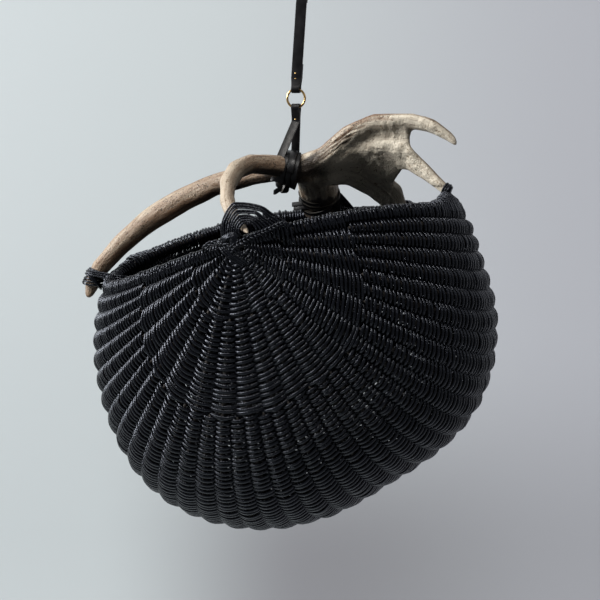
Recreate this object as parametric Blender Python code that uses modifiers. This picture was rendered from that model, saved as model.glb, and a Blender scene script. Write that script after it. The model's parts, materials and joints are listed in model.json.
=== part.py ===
"""Rib basket woven over radiating ribs, with an antler for its handle, hung on a leather strap and a ring."""

import math

import bmesh
import bpy
from mathutils import Matrix, Vector

# Rim of the basket, in metres
RIM_HALF_LENGTH = 0.215
RIM_HALF_DEPTH = 0.150
HOOP_RADIUS = 0.004
EAR_ASIDE = 0.006
EAR_RISE = 0.0175
RIM_TWIST = 0.024
FAR_RISE = 0.010
END_FALL = 0.006

# Belly below the rim
BELLY_DEPTH = 0.316
BELLY_FULLNESS = 0.35
BELLY_SHARES = (
    (0, 0.982),
    (30, 1.054),
    (50, 1.099),
    (70, 1.055),
    (90, 0.981),
    (105, 0.940),
    (130, 0.978),
    (150, 0.970),
    (165, 0.953),
    (180, 0.994),
)

# Ribs, in degrees round the basket's long axis and from ear to ear
PRIMARY_GAPS = 9
RIB_GAPS = PRIMARY_GAPS * 4
RIB_RADIUS = 0.003
RIB_TIP_SHARE = 0.6
SECONDARY_START_REACH = 0.050
TERTIARY_START_REACH = 0.105
START_BLEND = 0.040

# Woven wall
CLEARANCE = 0.0003
SLOPE_STEP = 0.5
SHARP_ANGLE = 50
WALL_THICKNESS = 0.003
SWELL = 0.0024
SWELL_PER_GAP_SHARE = 0.12
ROW_ANGLES = (84.5, 77, 68, 57, 44, 29, 14.5, 0)
RIB_START_ROWS = {"primary": 0, "secondary": 1, "tertiary": 3}
CURL_STEP = 45
CURL_ANGLES = (210, 4 * CURL_STEP, 3 * CURL_STEP, 2 * CURL_STEP, CURL_STEP)
RIM_BORE = (HOOP_RADIUS + 2 * CLEARANCE) / math.cos(math.radians(CURL_STEP / 2))
RIM_SEAT = RIM_BORE + WALL_THICKNESS / 2
RIM_ROLL = RIM_BORE + WALL_THICKNESS

# Hanging strap and ring
RING_RADIUS = 0.0104
RING_WIRE_RADIUS = 0.0015
RING_DROP = 0.153
RING_ASIDE = 0.010
STRAP_THICKNESS = 0.002
STRAP_WIDTH = 0.0125
STRAP_FOLD_WIDTH = 0.0095
TOP_LOOP_RADIUS = 0.007
TOP_TAIL = 0.047
RING_TAIL = 0.016
LEG_PINCH = 0.012
LEG_PART_SHARE = 1.3
FRONT_LEG_ASIDE = 0.0112
BACK_LEG_ASIDE = 0.0013
TOP_LOOP_REACH_SHARE = 2.5
FOLD_STEPS = 8
FOLD_OVERLAP = 50
RING_SEGMENTS = 24
WIRE_SEGMENTS = 8

# Basket's place and tilt under the ring
RIM_DROP = 0.165
RIM_ASIDE = 0.0182
RIM_FORWARD = 0.0104
TILT = math.radians(13)

# Antler, whose branches are shares of the rim's half length, its half depth and the handle's rise
HANDLE_RISE = 0.110
BEAM_RADIUS = 0.011
PALM_THICKNESS = 0.010
ANTLER_SIDES = 12
PALM_STEPS = 6
ANTLER_VOXEL = 0.003
ANTLER_SMOOTHING = 5
ANTLER_FACES_SHARE = 0.075
LONG_TINE_SHARES = (
    (-1.133, -0.053, -0.345, 0.36, 0.38),
    (-1.110, -0.027, -0.236, 0.68, 0.76),
    (-1.041, 0.000, -0.058, 0.86, 0.94),
    (-0.895, 0.033, 0.110, 0.94, 1.00),
    (-0.716, 0.067, 0.253, 1.00, 1.03),
    (-0.492, 0.093, 0.417, 1.03, 1.05),
    (-0.306, 0.107, 0.509, 1.05, 1.06),
    (-0.092, 0.093, 0.545, 1.14, 1.15),
    (0.062, 0.053, 0.542, 1.27, 1.35),
    (0.168, 0.013, 0.496, 1.45, 1.59),
    (0.254, 0.040, 0.458, 1.36, 1.64),
)
NEAR_TINE_SHARES = (
    (0.173, 0.000, 0.505, 1.27, 1.23),
    (0.081, -0.120, 0.579, 1.14, 1.07),
    (0.007, -0.253, 0.625, 1.05, 1.01),
    (-0.034, -0.413, 0.585, 1.00, 0.97),
    (-0.046, -0.587, 0.464, 0.94, 0.91),
    (-0.029, -0.747, 0.294, 0.82, 0.81),
    (0.024, -0.893, 0.094, 0.68, 0.67),
    (0.106, -1.027, -0.046, 0.44, 0.39),
    (0.130, -1.073, -0.081, 0.22, 0.19),
)
BASE_SHARES = (
    (0.224, 0.053, 0.471, 1.36, 1.54),
    (0.228, 0.233, 0.390, 1.45, 1.98),
    (0.187, 0.467, 0.282, 1.50, 2.26),
    (0.139, 0.640, 0.191, 1.55, 1.98),
    (0.106, 0.730, 0.098, 1.60, 1.82),
    (0.085, 0.765, 0.000, 1.60, 1.65),
)
TOP_TINE_SHARES = (
    (0.220, 0.033, 0.494, 1.27, 1.44),
    (0.350, 0.033, 0.546, 1.09, 1.08),
    (0.510, 0.013, 0.696, 0.91, 1.22),
    (0.656, 0.000, 0.752, 0.85, 1.12),
    (0.852, -0.030, 0.682, 0.74, 0.90),
    (0.952, -0.053, 0.588, 0.66, 0.85),
    (1.023, -0.067, 0.452, 0.52, 0.62),
    (1.050, -0.080, 0.380, 0.38, 0.44),
    (1.064, -0.087, 0.326, 0.24, 0.25),
)
SECOND_TINE_SHARES = (
    (0.331, 0.067, 0.454, 0.82, 1.23),
    (0.525, 0.087, 0.482, 0.50, 1.53),
    (0.684, 0.080, 0.422, 0.50, 1.83),
    (0.779, 0.060, 0.339, 0.55, 1.80),
    (0.822, 0.047, 0.233, 0.59, 1.16),
    (0.884, 0.027, 0.089, 0.59, 0.84),
    (0.936, 0.000, -0.037, 0.53, 0.62),
    (0.963, -0.007, -0.091, 0.45, 0.48),
)
THIRD_TINE_SHARES = (
    (0.309, 0.120, 0.358, 0.82, 1.34),
    (0.433, 0.187, 0.344, 0.50, 2.06),
    (0.518, 0.300, 0.204, 0.50, 2.12),
    (0.560, 0.433, 0.063, 0.55, 1.90),
    (0.562, 0.560, -0.067, 0.55, 1.48),
    (0.549, 0.650, -0.186, 0.45, 1.05),
    (0.537, 0.700, -0.261, 0.36, 0.65),
)
PALM_SPANS_SHARES = (
    (TOP_TINE_SHARES, SECOND_TINE_SHARES, 4, 3),
    (SECOND_TINE_SHARES, THIRD_TINE_SHARES, 3, 3),
)

# Lashings, the ear plates and the strap's binding
LASHING_THICKNESS = 0.003
LASHING_BITE = 0.0008
LASHING_STEPS = 8
LEG_STEP = 0.0002
LEG_LIMIT = 0.048
LEFT_LASHING_SHARE = 0.25
RIGHT_LASHING_SHARE = 0.6
ANTLER_ROOM = 0.0006
LEFT_LASHING_WIDTH = 0.022
RIGHT_LASHING_WIDTH = 0.015
TINE_LASHING_WIDTH = 0.016
BASE_LASHING_WIDTH = 0.018
ARCH_RADIUS = 0.036
ARCH_REACH_SHARES = (
    (-15, 1.30),
    (0, 1.20),
    (27, 0.86),
    (70, 0.80),
    (100, 0.94),
    (118, 1.00),
    (140, 0.96),
    (185, 0.94),
)
ARCH_EYE_RADIUS = 0.009
ARCH_LEAN = 0.010
ARCH_START = 4
ARCH_SWEEP = 181
ARCH_SPANS = 3
ARCH_STEPS = 14
EAR_PLATE_RISE = 0.0065
EAR_PLATE_LEAN = 84.9
EAR_PLATE_STEPS = 12
BINDING_LENGTH = 0.029
BINDING_RADIUS = 0.0205
BINDING_ASIDE = 0.004
BINDING_RISE = 0.001
BINDING_DIP = math.radians(15)
BINDING_GROOVE = 0.0015
BINDING_TURNS = 3
BINDING_STEPS = 20
KNOT_RADIUS = 0.0098
KNOT_DROP = 0.0188
KNOT_ASIDE = 0.0098

CORD_BLACK = (0.018, 0.018, 0.024)
LEATHER_BLACK = (0.012, 0.012, 0.013)
RIB_BROWN = (0.045, 0.035, 0.028)
ANTLER_CREAM = (0.60, 0.50, 0.38)
BRASS = (0.75, 0.55, 0.25)


def clear_scene():
    """Remove what the file opened with."""
    for item in list(bpy.data.objects):
        bpy.data.objects.remove(item, do_unlink=True)


def new_collection(name):
    """Add a collection to the scene."""
    group = bpy.data.collections.new(name)
    bpy.context.scene.collection.children.link(group)
    return group


def new_material(name, colour, roughness, metallic=0.0):
    """Add a plain Principled material."""
    material = bpy.data.materials.new(name)
    material.use_nodes = True
    shader = material.node_tree.nodes["Principled BSDF"]
    shader.inputs["Base Color"].default_value = (*colour, 1.0)
    shader.inputs["Roughness"].default_value = roughness
    shader.inputs["Metallic"].default_value = metallic
    return material


def spline_value(table, at):
    """Read a smooth curve through a table of places and values."""
    last = len(table) - 1
    cell = 0
    while cell < last - 1 and at > table[cell + 1][0]:
        cell += 1
    before = table[max(cell - 1, 0)]
    start = table[cell]
    end = table[cell + 1]
    after = table[min(cell + 2, last)]
    span = end[0] - start[0]
    start_slope = (end[1] - before[1]) / (end[0] - before[0])
    end_slope = (after[1] - start[1]) / (after[0] - start[0])
    t = (at - start[0]) / span
    first = (2 * t**3 - 3 * t**2 + 1) * start[1] + (t**3 - 2 * t**2 + t) * span * start_slope
    second = (3 * t**2 - 2 * t**3) * end[1] + (t**3 - t**2) * span * end_slope
    return first + second


def ramp(value, start, end):
    """Rise smoothly from 0 at start to 1 at end."""
    t = min(max((value - start) / (end - start), 0.0), 1.0)
    return t * t * (3 - 2 * t)


def rim_height(x, y):
    """Height of the rim's line over its plane: the ears stand up and the rim is a little twisted."""
    along = x / RIM_HALF_LENGTH
    across = y / RIM_HALF_DEPTH
    return EAR_RISE * across**2 - RIM_TWIST * along * across + FAR_RISE * across - END_FALL * along


def belly_radius(turn):
    """Radius of the middle section at a turn in degrees, 0 at the left rim and 90 at the bottom."""
    plain = RIM_HALF_LENGTH + (BELLY_DEPTH - RIM_HALF_LENGTH) * math.sin(math.radians(turn))
    return plain * spline_value(BELLY_SHARES, turn)


def bare_wall(turn, lean):
    """Point of the smooth wall at a turn round the long axis and a lean from ear to ear, in degrees."""
    share = math.cos(math.radians(lean))
    reach = belly_radius(turn) * share
    power = 2 + BELLY_FULLNESS * math.sin(math.radians(turn))
    y = math.copysign(RIM_HALF_DEPTH, lean) * (1 - share**power) ** (1 / power)
    x = EAR_ASIDE * (y / RIM_HALF_DEPTH) ** 2 - reach * math.cos(math.radians(turn))
    z = -reach * math.sin(math.radians(turn))
    keep = max(1 + z / BELLY_DEPTH, 0.0) ** 2
    return Vector((x, y, z + rim_height(x, y) * keep))


def ear_way(turn, lean):
    """Direction along the wall from the near ear to the far one."""
    return (bare_wall(turn, lean + SLOPE_STEP) - bare_wall(turn, lean - SLOPE_STEP)).normalized()


def wall_normal(turn, lean):
    """Outward normal of the smooth wall."""
    low = max(turn - SLOPE_STEP, 0.0)
    high = min(turn + SLOPE_STEP, 180.0)
    round_way = bare_wall(high, lean) - bare_wall(low, lean)
    return ear_way(turn, lean).cross(round_way).normalized()


def ridge(turn, spacing):
    """Scallop of ribs at a spacing in degrees: 1 over a rib, -1 in the valley between two."""
    place = (turn / spacing) % 1.0
    depth = 1 - abs(1 - 2 * place)
    return 1 - 4 * max(depth - 0.5, 0.0)


def swell(turn, lean):
    """How far the weave stands out over the ribs that run here."""
    reach = belly_radius(turn) * math.cos(math.radians(lean))
    second = ramp(reach, SECONDARY_START_REACH, SECONDARY_START_REACH + START_BLEND)
    third = ramp(reach, TERTIARY_START_REACH, TERTIARY_START_REACH + START_BLEND)
    shares = (1 - second, second * (1 - third), second * third)
    total = 0.0
    for tier, share in enumerate(shares):
        spacing = 180 / (PRIMARY_GAPS * 2**tier)
        height = min(SWELL, SWELL_PER_GAP_SHARE * reach * math.radians(spacing))
        total += share * height * ridge(turn, spacing)
    return total


def wall_point(turn, lean, off=0.0):
    """Point of the woven wall's middle surface, moved out by off."""
    return bare_wall(turn, lean) + wall_normal(turn, lean) * (swell(turn, lean) + off)


def rim_centre(end, lean):
    """Centre of the rim hoop at the left (0) or right (180) side."""
    return wall_point(end, lean, -RIM_SEAT)


def wall_stations():
    """Turns of the wall's grid: a flat top over each rib and a crease between ribs."""
    pitch = 180 / RIB_GAPS
    turns = [0.0]
    for rib in range(1, RIB_GAPS):
        turns += [pitch * (rib - 0.5), pitch * (rib - 0.25), pitch * (rib + 0.25)]
    return turns + [180 - pitch / 2, 180.0]


def curl_ring(end, lean, off):
    """Points that curl over the rim hoop, from inside the basket over the top to the outer wall."""
    centre = rim_centre(end, lean)
    outward = wall_normal(end, lean)
    upward = ear_way(end, lean).cross(outward)
    if end == 180:
        upward = -upward
    points = []
    for angle in CURL_ANGLES:
        turn = math.radians(angle)
        way = outward * math.cos(turn) + upward * math.sin(turn)
        points.append(centre + way * (RIM_SEAT + off))
    return points


def wall_row(lean, off):
    """One row of the wall from the curl over the left rim to the curl over the right rim."""
    row = curl_ring(0, lean, off)
    row += [wall_point(turn, lean, off) for turn in wall_stations()]
    row += reversed(curl_ring(180, lean, off))
    return row


def add_object(name, mesh, group, parent, material, smooth=True):
    """Place a mesh in a collection under its parent."""
    item = bpy.data.objects.new(name, mesh)
    group.objects.link(item)
    item.parent = parent
    mesh.materials.append(material)
    if smooth:
        mesh.shade_smooth()
        mesh.set_sharp_from_angle(angle=math.radians(SHARP_ANGLE))
    return item


def mesh_from(bm, name):
    """Turn a bmesh into a mesh with its faces pointing out."""
    bmesh.ops.recalc_face_normals(bm, faces=bm.faces)
    mesh = bpy.data.meshes.new(name)
    bm.to_mesh(mesh)
    bm.free()
    return mesh


def add_sheet(bm, outer_rows, inner_rows):
    """Add a closed sheet between an outer and an inner grid of points of the same size."""
    outer = [[bm.verts.new(point) for point in row] for row in outer_rows]
    inner = [[bm.verts.new(point) for point in row] for row in inner_rows]
    rows = len(outer)
    columns = len(outer[0])
    for grid in (outer, inner):
        for i in range(rows - 1):
            for j in range(columns - 1):
                bm.faces.new((grid[i][j], grid[i][j + 1], grid[i + 1][j + 1], grid[i + 1][j]))
    for i in range(rows - 1):
        for j in (0, columns - 1):
            bm.faces.new((outer[i][j], outer[i + 1][j], inner[i + 1][j], inner[i][j]))
    for j in range(columns - 1):
        for i in (0, rows - 1):
            bm.faces.new((outer[i][j], outer[i][j + 1], inner[i][j + 1], inner[i][j]))


def sheet_mesh(name, outer_rows, inner_rows):
    """Mesh of one closed sheet."""
    bm = bmesh.new()
    add_sheet(bm, outer_rows, inner_rows)
    return mesh_from(bm, name)


def row_leans(side):
    """Leans of the rows of one half, from its ear to the seam in the middle."""
    seam = math.degrees(math.asin(CLEARANCE / 2 / RIM_HALF_DEPTH))
    return [side * max(angle, seam) for angle in ROW_ANGLES]


def make_weave(name, side, group, parent, material):
    """Half of the woven wall, from one ear to the seam in the middle."""
    leans = row_leans(side)
    half = WALL_THICKNESS / 2
    outer = [wall_row(lean, half) for lean in leans]
    inner = [wall_row(lean, -half) for lean in leans]
    seam_y = side * CLEARANCE / 2
    for row in (outer[-1], inner[-1]):
        for point in row:
            point.y = seam_y
    return add_object(name, sheet_mesh(name, outer, inner), group, parent, material)


def make_tube(name, points, radii, group, parent, material, closed=False, sides=1):
    """Rod along points, with a radius at each and filled ends."""
    curve = bpy.data.curves.new(name, "CURVE")
    curve.dimensions = "3D"
    curve.bevel_depth = 1.0
    curve.bevel_resolution = sides
    curve.use_fill_caps = not closed
    spline = curve.splines.new("POLY")
    spline.points.add(len(points) - 1)
    for slot, place, radius in zip(spline.points, points, radii):
        slot.co = (*place, 1.0)
        slot.radius = radius
    spline.use_cyclic_u = closed
    curve.materials.append(material)
    item = bpy.data.objects.new(name, curve)
    group.objects.link(item)
    item.parent = parent
    return item


def all_leans(start_row):
    """Leans of every row from one ear to the other, starting at a row."""
    near = [-angle for angle in ROW_ANGLES[start_row:-1]]
    return near + [0.0] + [-angle for angle in reversed(near)]


def rib_tier(rib):
    """Order in which a rib is set into the frame."""
    if rib % 4 == 0:
        return "primary"
    if rib % 2 == 0:
        return "secondary"
    return "tertiary"


def make_rib(rib, group, parent, material):
    """One rib, laid in the groove that the weave bends over it."""
    pitch = 180 / RIB_GAPS
    turn = pitch * rib
    tier = rib_tier(rib)
    points = []
    for lean in all_leans(RIB_START_ROWS[tier]):
        left = wall_point(turn - pitch / 4, lean)
        right = wall_point(turn + pitch / 4, lean)
        depth = RIB_RADIUS + CLEARANCE + WALL_THICKNESS / 2
        points.append((left + right) / 2 - wall_normal(turn, lean) * depth)
    radii = [RIB_RADIUS] * len(points)
    radii[0] = radii[-1] = RIB_RADIUS * RIB_TIP_SHARE
    return make_tube(f"rib_{rib:02d}_{tier}", points, radii, group, parent, material)


def make_hoop(group, parent, material):
    """Rim hoop, one closed rod from ear to ear and back."""
    points = hoop_line()
    radii = [HOOP_RADIUS] * len(points)
    return make_tube("rim_hoop", points, radii, group, parent, material, closed=True, sides=2)


def hoop_line():
    """Closed line along the middle of the hoop."""
    leans = all_leans(0)
    left = [rim_centre(0, lean) for lean in leans]
    right = [rim_centre(180, lean) for lean in reversed(leans)]
    return left + right


def antler_place(shares):
    """Place of an antler point from its shares of the rim and of the handle's rise."""
    seat = rim_height(-RIM_HALF_LENGTH, 0.0) + RIM_ROLL + BEAM_RADIUS + CLEARANCE
    x = shares[0] * RIM_HALF_LENGTH
    y = shares[1] * RIM_HALF_DEPTH
    z = seat + shares[2] * HANDLE_RISE
    return Vector((x, y, z))


def palm_normal():
    """Direction square to the palm, from its top and its lowest tines."""
    root = antler_place(TOP_TINE_SHARES[1])
    top = antler_place(TOP_TINE_SHARES[4])
    low = antler_place(THIRD_TINE_SHARES[3])
    return (top - root).cross(low - root).normalized()


def add_limb(bm, shares, normal):
    """One antler branch as a closed oval loft along its points."""
    places = [antler_place(row) for row in shares]
    rings = []
    for index, place in enumerate(places):
        ahead = places[min(index + 1, len(places) - 1)]
        behind = places[max(index - 1, 0)]
        way = (ahead - behind).normalized()
        thin = (normal - way * normal.dot(way)).normalized() * shares[index][3] * BEAM_RADIUS
        wide = way.cross(thin).normalized() * shares[index][4] * BEAM_RADIUS
        ring = []
        for step in range(ANTLER_SIDES):
            angle = 2 * math.pi * step / ANTLER_SIDES
            ring.append(bm.verts.new(place + thin * math.cos(angle) + wide * math.sin(angle)))
        rings.append(ring)
    for low, high in zip(rings, rings[1:]):
        for step in range(ANTLER_SIDES):
            after = (step + 1) % ANTLER_SIDES
            bm.faces.new((low[step], low[after], high[after], high[step]))
    bm.faces.new(rings[0])
    bm.faces.new(list(reversed(rings[-1])))


def along(points, share):
    """Point at a share of a line's count of spans."""
    spans = len(points) - 1
    cell = min(int(share * spans), spans - 1)
    return points[cell].lerp(points[cell + 1], share * spans - cell)


def palm_rows(first, second, first_count, second_count):
    """Grid of points between the middle lines of two branches."""
    first_places = [antler_place(row) for row in first[:first_count + 1]]
    second_places = [antler_place(row) for row in second[:second_count + 1]]
    rows = []
    for step in range(PALM_STEPS + 1):
        start = along(first_places, step / PALM_STEPS)
        end = along(second_places, step / PALM_STEPS)
        rows.append([start.lerp(end, cross / PALM_STEPS) for cross in range(PALM_STEPS + 1)])
    return rows


def make_antler(group, parent, material):
    """Antler: oval branches and thin palms, grown together and smoothed."""
    bm = bmesh.new()
    normal = palm_normal()
    for shares in (
        LONG_TINE_SHARES,
        NEAR_TINE_SHARES,
        BASE_SHARES,
        TOP_TINE_SHARES,
        SECOND_TINE_SHARES,
        THIRD_TINE_SHARES,
    ):
        add_limb(bm, shares, normal)
    for span in PALM_SPANS_SHARES:
        rows = palm_rows(*span)
        offset = normal * PALM_THICKNESS / 2
        outer = [[point + offset for point in row] for row in rows]
        inner = [[point - offset for point in row] for row in rows]
        add_sheet(bm, outer, inner)
    item = add_object("antler", mesh_from(bm, "antler"), group, parent, material)
    grow = item.modifiers.new("Grow together", "REMESH")
    grow.mode = "VOXEL"
    grow.voxel_size = ANTLER_VOXEL
    soften = item.modifiers.new("Soften", "SMOOTH")
    soften.iterations = ANTLER_SMOOTHING
    reduce = item.modifiers.new("Reduce", "DECIMATE")
    reduce.ratio = ANTLER_FACES_SHARE
    return item


def evaluated_copy(item, name, group):
    """Copy of an object's finished mesh, in the same place."""
    graph = bpy.context.evaluated_depsgraph_get()
    mesh = bpy.data.meshes.new_from_object(item.evaluated_get(graph))
    copy = bpy.data.objects.new(name, mesh)
    group.objects.link(copy)
    copy.parent = item.parent
    return copy


def hide_cutter(item):
    """Keep a cutter out of the model."""
    item.hide_render = True
    item.display_type = "WIRE"


def grow_cutter(item, distance):
    """Swell a cutter evenly, so that what it cuts keeps a gap."""
    swell_out = item.modifiers.new("Clearance", "DISPLACE")
    swell_out.mid_level = 0.0
    swell_out.strength = distance


def cut(item, cutter):
    """Take a cutter out of an object."""
    tool = item.modifiers.new(f"Cut by {cutter.name}", "BOOLEAN")
    tool.operation = "DIFFERENCE"
    tool.object = cutter


def line_distance(spot, line):
    """Distance from a place to a closed line of points."""
    best = math.inf
    for index, start in enumerate(line):
        span = start - line[index - 1]
        share = (spot - line[index - 1]).dot(span) / span.length_squared
        nearest = line[index - 1] + span * min(max(share, 0.0), 1.0)
        best = min(best, (spot - nearest).length)
    return best


def seat_leg(start, way, corners, hoop):
    """Length of a lashing's leg, from its start until a corner of its foot nears the rim's roll."""
    length = 0.0
    while length < LEG_LIMIT:
        feet = [start + corner + way * length for corner in corners]
        nearest = min(line_distance(foot, hoop) for foot in feet)
        if nearest <= RIM_ROLL + CLEARANCE + LEG_STEP:
            break
        length += LEG_STEP
    return length


def make_saddle(name, centre, axis, up, side_radius, top_radius, width, hoop, group, parent, material):
    """Lashing that bends over an antler branch, with its two feet on the rim's roll."""
    axis = axis.normalized()
    up = (up - axis * up.dot(axis)).normalized()
    side = axis.cross(up)
    half = axis * width / 2
    layers = []
    for grow in (LASHING_THICKNESS - LASHING_BITE, -LASHING_BITE):
        arc = []
        for step in range(LASHING_STEPS + 1):
            angle = math.pi * step / LASHING_STEPS
            across = side * math.cos(angle) * (side_radius + grow)
            arc.append(centre + across + up * math.sin(angle) * (top_radius + grow))
        layers.append(arc)
    feet = []
    for end in (0, -1):
        starts = (layers[0][end], layers[1][end])
        middle = (starts[0] + starts[1]) / 2
        corners = [start - middle + shift * half for start in starts for shift in (-1, -0.5, 0, 0.5, 1)]
        length = seat_leg(middle, -up, corners, hoop)
        feet.append([start - up * length for start in starts])
    rows = []
    for layer, arc in enumerate(layers):
        line = [feet[0][layer]] + arc + [feet[1][layer]]
        rows.append([[point - half, point, point + half] for point in line])
    return add_object(name, sheet_mesh(name, rows[0], rows[1]), group, parent, material)


def make_lashings(group, parent, cord, leather, antler_cutter):
    """Lashings that tie the antler's ends to the rim."""
    hoop = hoop_line()
    up = Vector((0, 0, 1))
    lashings = []
    left_place = antler_place(LONG_TINE_SHARES[2]).lerp(antler_place(LONG_TINE_SHARES[3]), LEFT_LASHING_SHARE)
    left_way = antler_place(LONG_TINE_SHARES[2]) - antler_place(LONG_TINE_SHARES[3])
    left_radius = LONG_TINE_SHARES[2][3] * BEAM_RADIUS
    left = ("left_lashing", left_place, left_way, up, left_radius, left_radius, LEFT_LASHING_WIDTH, cord)
    right_start = antler_place(SECOND_TINE_SHARES[-2])
    right_place = right_start.lerp(antler_place(SECOND_TINE_SHARES[-1]), RIGHT_LASHING_SHARE)
    right_size = SECOND_TINE_SHARES[-2][3] * BEAM_RADIUS
    right_way = Vector((1, 0, 0))
    right = ("right_lashing", right_place, right_way, up, right_size, right_size, RIGHT_LASHING_WIDTH, cord)
    tine_place = antler_place(THIRD_TINE_SHARES[-2])
    tine_in = Vector((-tine_place.x / RIM_HALF_LENGTH**2, -tine_place.y / RIM_HALF_DEPTH**2, 0))
    tine_side = THIRD_TINE_SHARES[-2][4] * BEAM_RADIUS
    tine_top = THIRD_TINE_SHARES[-2][3] * BEAM_RADIUS
    tine = ("far_tine_lashing", tine_place, -up, tine_in, tine_side, tine_top, TINE_LASHING_WIDTH, cord)
    base_place = antler_place(BASE_SHARES[-2])
    base_in = Vector((0, -1, 0))
    base_side = BASE_SHARES[-2][4] * BEAM_RADIUS
    base_top = BASE_SHARES[-2][3] * BEAM_RADIUS
    base = ("base_lashing", base_place, -up, base_in, base_side, base_top, BASE_LASHING_WIDTH, leather)
    for name, place, way, over, side, top, width, material in (left, right, tine, base):
        item = make_saddle(name, place, way, over, side, top, width, hoop, group, parent, material)
        cut(item, antler_cutter)
        lashings.append(item)
    return lashings


def make_ear_plate(name, side, group, parent, material):
    """Plate of crossed strands that closes the ear, where the ribs run together."""
    steps = EAR_PLATE_STEPS
    outline = []
    for step in range(steps + 1):
        place = bare_wall(180 * step / steps, side * EAR_PLATE_LEAN)
        outline.append((place.x, place.z))
    first = outline[0]
    last = outline[-1]
    for step in range(1, steps // 2):
        turn = math.pi * step / (steps // 2)
        share = (1 - math.cos(turn)) / 2
        x = last[0] + (first[0] - last[0]) * share
        z = last[1] + (first[1] - last[1]) * share + EAR_PLATE_RISE * math.sin(turn)
        outline.append((x, z))
    level = rim_centre(0, side * ROW_ANGLES[0]).y + side * (HOOP_RADIUS + 2 * CLEARANCE)
    bm = bmesh.new()
    face = bm.faces.new([bm.verts.new((x, level, z)) for x, z in outline])
    grown = bmesh.ops.extrude_face_region(bm, geom=[face])
    moved = [part for part in grown["geom"] if isinstance(part, bmesh.types.BMVert)]
    bmesh.ops.translate(bm, verts=moved, vec=Vector((0, side * WALL_THICKNESS, 0)))
    return add_object(name, mesh_from(bm, name), group, parent, material)


def make_arch(group, parent, material, antler_cutter):
    """Fan of strands over the near ear, with an eye for the tip of the near tine."""
    eye = antler_place(NEAR_TINE_SHARES[-2])
    level = rim_centre(0, -ROW_ANGLES[0]).y - HOOP_RADIUS
    half = LASHING_THICKNESS / 2
    slope = math.atan2(ARCH_LEAN, ARCH_RADIUS - ARCH_EYE_RADIUS)
    layers = []
    for side in (1, -1):
        rows = []
        for step in range(ARCH_STEPS + 1):
            degrees = ARCH_START + ARCH_SWEEP * step / ARCH_STEPS
            reach = ARCH_RADIUS * spline_value(ARCH_REACH_SHARES, degrees)
            angle = math.radians(degrees)
            out = Vector((math.cos(angle), 0, math.sin(angle)))
            normal = out * math.sin(slope) * side * half + Vector((0, -math.cos(slope) * side * half, 0))
            row = []
            for span in range(ARCH_SPANS + 1):
                share = span / ARCH_SPANS
                radius = ARCH_EYE_RADIUS + (reach - ARCH_EYE_RADIUS) * share
                row.append(Vector((eye.x, level + ARCH_LEAN * share, eye.z)) + out * radius + normal)
            rows.append(row)
        layers.append(rows)
    item = add_object("near_ear_arch", sheet_mesh("near_ear_arch", *layers), group, parent, material)
    cut(item, antler_cutter)
    return item


def make_barrel(name, radius, length, groove, turns, group, parent, material):
    """Turned solid with a shallow groove between its turns of leather."""
    profile = [(0.0, length / 2)]
    for turn in range(turns):
        top = length / 2 - length * turn / turns
        low = length / 2 - length * (turn + 1) / turns
        profile += [(radius - groove, top), (radius, top + (low - top) / 3), (radius, low - (low - top) / 3)]
    profile += [(radius - groove, -length / 2), (0.0, -length / 2)]
    mesh = bpy.data.meshes.new(name)
    edges = [(index, index + 1) for index in range(len(profile) - 1)]
    mesh.from_pydata([(x, 0.0, z) for x, z in profile], edges, [])
    item = add_object(name, mesh, group, parent, material, smooth=False)
    turned = item.modifiers.new("Turned", "SCREW")
    turned.steps = BINDING_STEPS
    turned.render_steps = BINDING_STEPS
    turned.use_merge_vertices = True
    turned.merge_threshold = CLEARANCE / 10
    return item


def make_binding(group, cutters, parent, leather, antler_cutter):
    """Leather turns round the antler's shaft, and the knot under them."""
    centre = antler_place(LONG_TINE_SHARES[-2]) + Vector((-BINDING_ASIDE, 0, BINDING_RISE))
    way = antler_place(LONG_TINE_SHARES[-1]) - antler_place(LONG_TINE_SHARES[-3])
    way.rotate(Matrix.Rotation(BINDING_DIP, 3, "Y"))
    turn = way.to_track_quat("Z", "Y")
    grooves = (BINDING_GROOVE, BINDING_TURNS)
    binding = make_barrel("strap_binding", BINDING_RADIUS, BINDING_LENGTH, *grooves, group, parent, leather)
    wide = BINDING_RADIUS + CLEARANCE
    high = BINDING_LENGTH + 2 * CLEARANCE
    cutter = make_barrel("binding_room", wide, high, *grooves, cutters, parent, leather)
    for item in (binding, cutter):
        item.location = centre
        item.rotation_euler = turn.to_euler()
    hide_cutter(cutter)
    cut(binding, antler_cutter)
    bm = bmesh.new()
    bmesh.ops.create_icosphere(bm, subdivisions=2, radius=KNOT_RADIUS)
    knot = add_object("binding_knot", mesh_from(bm, "binding_knot"), group, parent, leather)
    knot.location = centre + Vector((-KNOT_ASIDE, -KNOT_RADIUS / 2, -KNOT_DROP))
    cut(knot, cutter)
    cut(knot, antler_cutter)
    return binding, cutter


def teardrop(radius, pinch, gap):
    """Side view of a strap folded round a wire at 0, with its layers running off together at +Z."""
    points = [(-gap, pinch)]
    start = 90 + FOLD_OVERLAP
    sweep = 360 - 2 * FOLD_OVERLAP
    for step in range(FOLD_STEPS + 1):
        angle = math.radians(start + sweep * step / FOLD_STEPS)
        points.append((radius * math.cos(angle), radius * math.sin(angle)))
    points.append((gap, pinch))
    return points


def strap_mesh(name, path, widths, asides):
    """Flat strap along a path of Y and Z, with its width along X."""
    layers = ([], [])
    for index, (y, z) in enumerate(path):
        ahead = Vector(path[min(index + 1, len(path) - 1)])
        behind = Vector(path[max(index - 1, 0)])
        way = (ahead - behind).normalized()
        normal = Vector((0, -way.y, way.x)) * STRAP_THICKNESS / 2
        for layer, sign in zip(layers, (1, -1)):
            middle = Vector((asides[index], y, z)) + normal * sign
            half = Vector((widths[index] / 2, 0, 0))
            layer.append([middle - half, middle + half])
    return sheet_mesh(name, layers[0], layers[1])


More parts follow.
